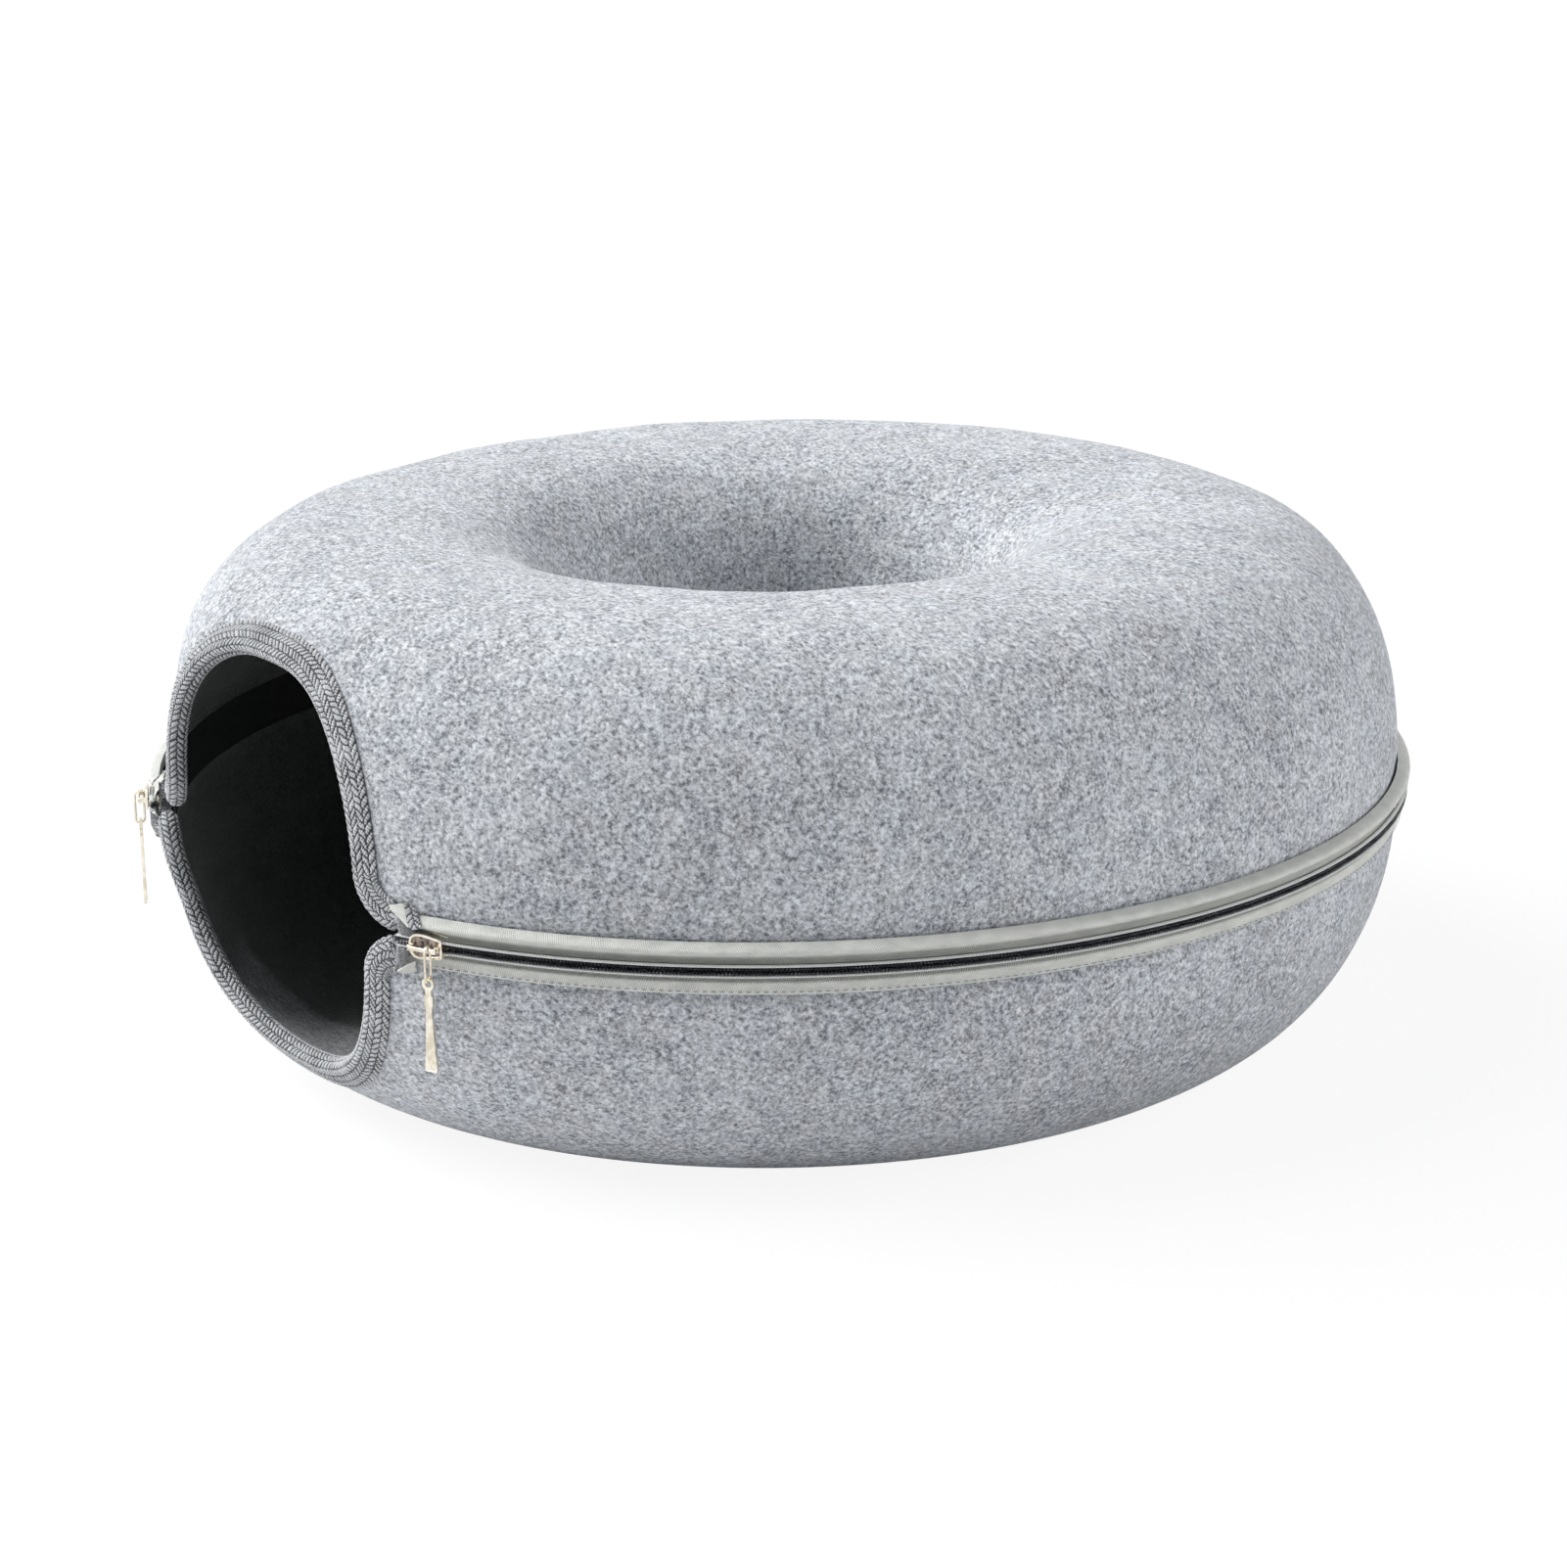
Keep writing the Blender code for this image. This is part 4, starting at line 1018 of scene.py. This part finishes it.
half_length = SLIDER_LENGTH / 2
side_line = smooth_line((
    (-half_length, 0.0), (-half_length + 0.0002, 0.0018), (-0.0058, 0.0035),
    (-0.0038, 0.0045), (-0.0005, 0.0046), (0.0030, 0.0041),
    (half_length - 0.0008, 0.0036), (half_length - 0.0001, 0.0031), (half_length, 0.0),
), 0.0007)[1:-1]
outline = [(x, z) for x, z in side_line] + [(x, -z) for x, z in reversed(side_line)]
for side, name in SIDES:
    bm = bmesh.new()
    plate(bm, outline, -PLATE_FACE, -PLATE_OFFSET, rim=RIM_WIDTH)
    plate(bm, outline, PLATE_FACE, PLATE_OFFSET)
    for start, end, bevel in (POST, *LIPS, *CROWN_FEET):
        block(bm, start, end, bevel)
    bmesh.ops.transform(bm, matrix=on_chain(side), verts=bm.verts)
    slider_piece = finished(name + "_slider", bm, [gold, painted_reflection], crease=math.radians(32))
    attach(slider_piece, name + "_slider")
    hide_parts(name + "_slider_body")


# The crown. A bent strap of the same plated metal bridges each slider from head to tail, and
# the pull's ring hangs from it.
PULL_AXIS = 0.00545
PULL_SHIFT = 0.0028
CROWN_REACH = 0.0059
CROWN_WAIST = 0.00075
CROWN_FLARE = 0.0004
CROWN_THICKNESS = 0.0010
CROWN_SIDES = 12
CROWN_LINE = smooth_line((
    (-0.0059, 0.0044), (-0.0057, 0.0049), (-0.0051, 0.0053), (-0.0038, 0.00545), (0.0, 0.00545),
    (0.0038, 0.00545), (0.0051, 0.0053), (0.0057, 0.0049), (0.0059, 0.0044),
), 0.0004)
for side, name in SIDES:
    loops = []
    for x, off in CROWN_LINE:
        wide = CROWN_WAIST + CROWN_FLARE * abs(x / CROWN_REACH) ** 4
        loop = []
        for k in range(CROWN_SIDES):
            turn = 2 * math.pi * k / CROWN_SIDES
            flat = [math.copysign(abs(c) ** 0.6, c) for c in (math.cos(turn), math.sin(turn))]
            loop.append(Vector((x, -off + flat[0] * CROWN_THICKNESS / 2, flat[1] * wide)))
        loops.append(loop)
    bm = sweep(loops)
    bmesh.ops.transform(bm, matrix=on_chain(side), verts=bm.verts)
    crown = finished(name + "_crown", bm, [gold], crease=math.radians(60))
    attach(crown, name + "_slider")
    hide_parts(name + "_slider_crown")


# The pull's ring. A plated wire is bent into a long narrow ring, closed by a butt joint, and
# links the crown to the tab.
RING_DROP = 0.00025
RING_LEG = 0.0095
RING_BEND = 0.00175
RING_WIRE = 0.00048
BEND_STEPS = 16
WIRE_SIDES = 10
sideways = Vector((1, 0, 0))
for side, name in SIDES:
    centre_line = []
    for centre, first in ((-RING_DROP, 0), (-RING_DROP - RING_LEG, math.pi)):
        for i in range(BEND_STEPS + 1):
            turn = first + math.pi * i / BEND_STEPS
            centre_line.append(Vector((0, math.cos(turn) * RING_BEND, centre + math.sin(turn) * RING_BEND)))
    centre_line.append(centre_line[0])
    loops = []
    for i, point in enumerate(centre_line):
        before = centre_line[i - 1] if i else centre_line[-2]
        after = centre_line[i + 1] if i + 1 < len(centre_line) else centre_line[1]
        out = sideways.cross((after - before).normalized())
        turns = [2 * math.pi * k / WIRE_SIDES for k in range(WIRE_SIDES)]
        loops.append([point + (sideways * math.cos(t) + out * math.sin(t)) * RING_WIRE for t in turns])
    bm = sweep(loops, capped=False)
    bmesh.ops.remove_doubles(bm, verts=bm.verts, dist=1e-7)
    bmesh.ops.transform(bm, matrix=on_chain(side, PULL_SHIFT, PULL_AXIS), verts=bm.verts)
    ring = finished(name + "_ring", bm, [gold])
    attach(ring, name + "_pull_ring")
    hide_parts(name + "_pull_ring")


# The pull's tab. It is stamped from plated sheet: an eye for the ring, a neck with a collar,
# and a blade that widens to its end, with a raised rim on both faces.
EYE_DROP = 0.0005
EYE_RADIUS = 0.0013
HEAD_RADIUS = 0.0025
NECK_REACH = 0.0012
TAB_THICKNESS = 0.0011
TAB_RIM = 0.00035
FACE_SLOPE = 0.00012
FACE_DEPTH = 0.00016
HEAD_STEPS = 28
PUNCH_DEPTH = 0.004
edge_line = [
    (NECK_REACH, -0.0040), (0.0017, -0.0044), (0.0017, -0.0080), (0.0012, -0.0095),
    (0.0018, -0.0210), (0.0026, -0.0324), (0.0022, -0.0328),
]
neck = math.asin(NECK_REACH / HEAD_RADIUS)
head = []
for i in range(HEAD_STEPS + 1):
    turn = neck + (2 * math.pi - 2 * neck) * i / HEAD_STEPS
    head.append((-math.sin(turn) * HEAD_RADIUS, -math.cos(turn) * HEAD_RADIUS))
outline = [(x, z - EYE_DROP) for x, z in head + edge_line + [(-x, z) for x, z in reversed(edge_line)]]
for side, name in SIDES:
    bm = bmesh.new()
    face = bm.faces.new([bm.verts.new((x, -TAB_THICKNESS / 2, z)) for x, z in outline])
    made = bmesh.ops.extrude_face_region(bm, geom=[face])["geom"]
    moved = [g for g in made if isinstance(g, bmesh.types.BMVert)]
    bmesh.ops.translate(bm, verts=moved, vec=(0, TAB_THICKNESS, 0))
    bmesh.ops.recalc_face_normals(bm, faces=bm.faces)
    for width, depth in ((TAB_RIM, 0.0), (FACE_SLOPE, -FACE_DEPTH)):
        flats = [f for f in bm.faces if len(f.verts) > 8]
        bmesh.ops.inset_region(bm, faces=flats, thickness=width, depth=depth)
    tab = finished(name + "_tab", bm, [gold], crease=math.radians(25))
    hole = bmesh.new()
    bmesh.ops.create_cone(
        hole, cap_ends=True, segments=32, radius1=EYE_RADIUS, radius2=EYE_RADIUS, depth=PUNCH_DEPTH,
        matrix=Matrix.Translation((0, 0, -EYE_DROP)) @ Matrix.Rotation(math.pi / 2, 4, "X"),
    )
    cut_away(tab, finished("eye_punch", hole, []))
    tab.data.transform(on_chain(side, PULL_SHIFT, PULL_AXIS, -RING_DROP - RING_LEG - RING_BEND))
    if side < 0:
        tab.data.flip_normals()
    tab.data.shade_smooth()
    tab.data.set_sharp_from_angle(angle=math.radians(25))
    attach(tab, name + "_pull_tab")
    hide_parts(name + "_pull_tab")


# The table and the light. A white floor that keeps a faint shadow, two broad lights from the
# left, a weaker one from the right, and an even white surround.
def bright_when_seen(tree, usual, bright, target, share):
    """Shows the bright shader to the camera and to mirrors, and lights the piece with the usual one."""
    rays = tree.nodes.new("ShaderNodeLightPath")
    either = tree.nodes.new("ShaderNodeMath")
    either.operation = "MAXIMUM"
    part = tree.nodes.new("ShaderNodeMath")
    part.operation = "MULTIPLY"
    part.inputs[1].default_value = share
    mix = tree.nodes.new("ShaderNodeMixShader")
    for source, end in (
        (rays.outputs["Is Camera Ray"], either.inputs[0]),
        (rays.outputs["Is Glossy Ray"], either.inputs[1]),
        (either.outputs[0], part.inputs[0]),
        (part.outputs[0], mix.inputs[0]),
        (usual.outputs[0], mix.inputs[1]),
        (bright.outputs[0], mix.inputs[2]),
        (mix.outputs[0], target.inputs["Surface"]),
    ):
        tree.links.new(source, end)


FLOOR_GLOW = 0.90
FLOOR_SIZE = 30
paper = bpy.data.materials.new("white_floor")
paper.use_nodes = True
nodes = paper.node_tree.nodes
surface = nodes["Principled BSDF"]
surface.inputs["Base Color"].default_value = (0.9, 0.9, 0.9, 1)
surface.inputs["Roughness"].default_value = 1.0
surface.inputs["Specular IOR Level"].default_value = 0.0
glow = nodes.new("ShaderNodeEmission")
bright_when_seen(paper.node_tree, surface, glow, nodes["Material Output"], FLOOR_GLOW)
bm = bmesh.new()
bmesh.ops.create_grid(bm, x_segments=1, y_segments=1, size=FLOOR_SIZE)
table_mesh = bpy.data.meshes.new("floor")
bm.to_mesh(table_mesh)
bm.free()
table_mesh.materials.append(paper)
table_top = bpy.data.objects.new("floor", table_mesh)
bpy.context.scene.collection.objects.link(table_top)

SURROUND_LEVEL = 0.15
LAMP_SPREAD = math.radians(40)
world = bpy.data.worlds.new("surround")
bpy.context.scene.world = world
world.use_nodes = True
nodes = world.node_tree.nodes
surround = nodes["Background"]
surround.inputs["Color"].default_value = (0.84, 0.91, 1.0, 1)
surround.inputs["Strength"].default_value = SURROUND_LEVEL
white = nodes.new("ShaderNodeBackground")
white.inputs["Color"].default_value = (1, 1, 1, 1)
white.inputs["Strength"].default_value = 1.0
bright_when_seen(world.node_tree, surround, white, nodes["World Output"], 1.0)

toward = Vector((backward.x, backward.y, 0)).normalized()
for name, round_from_camera, height, level in (
    ("high_left", -90, 50, 0.80), ("low_left", -120, 25, 0.86), ("low_right", 83, 25, 0.55),
):
    lamp = bpy.data.lights.new(name, "SUN")
    lamp.angle = LAMP_SPREAD
    lamp.energy = math.pi * level
    turn, lift = math.radians(round_from_camera), math.radians(height)
    flat = toward * math.cos(turn) + rightward * math.sin(turn)
    source = flat * math.cos(lift) + Vector((0, 0, math.sin(lift)))
    light = bpy.data.objects.new(name, lamp)
    light.matrix_world = source.to_track_quat("Z", "Y").to_matrix().to_4x4()
    bpy.context.scene.collection.objects.link(light)

bpy.context.scene.view_settings.view_transform = "Standard"
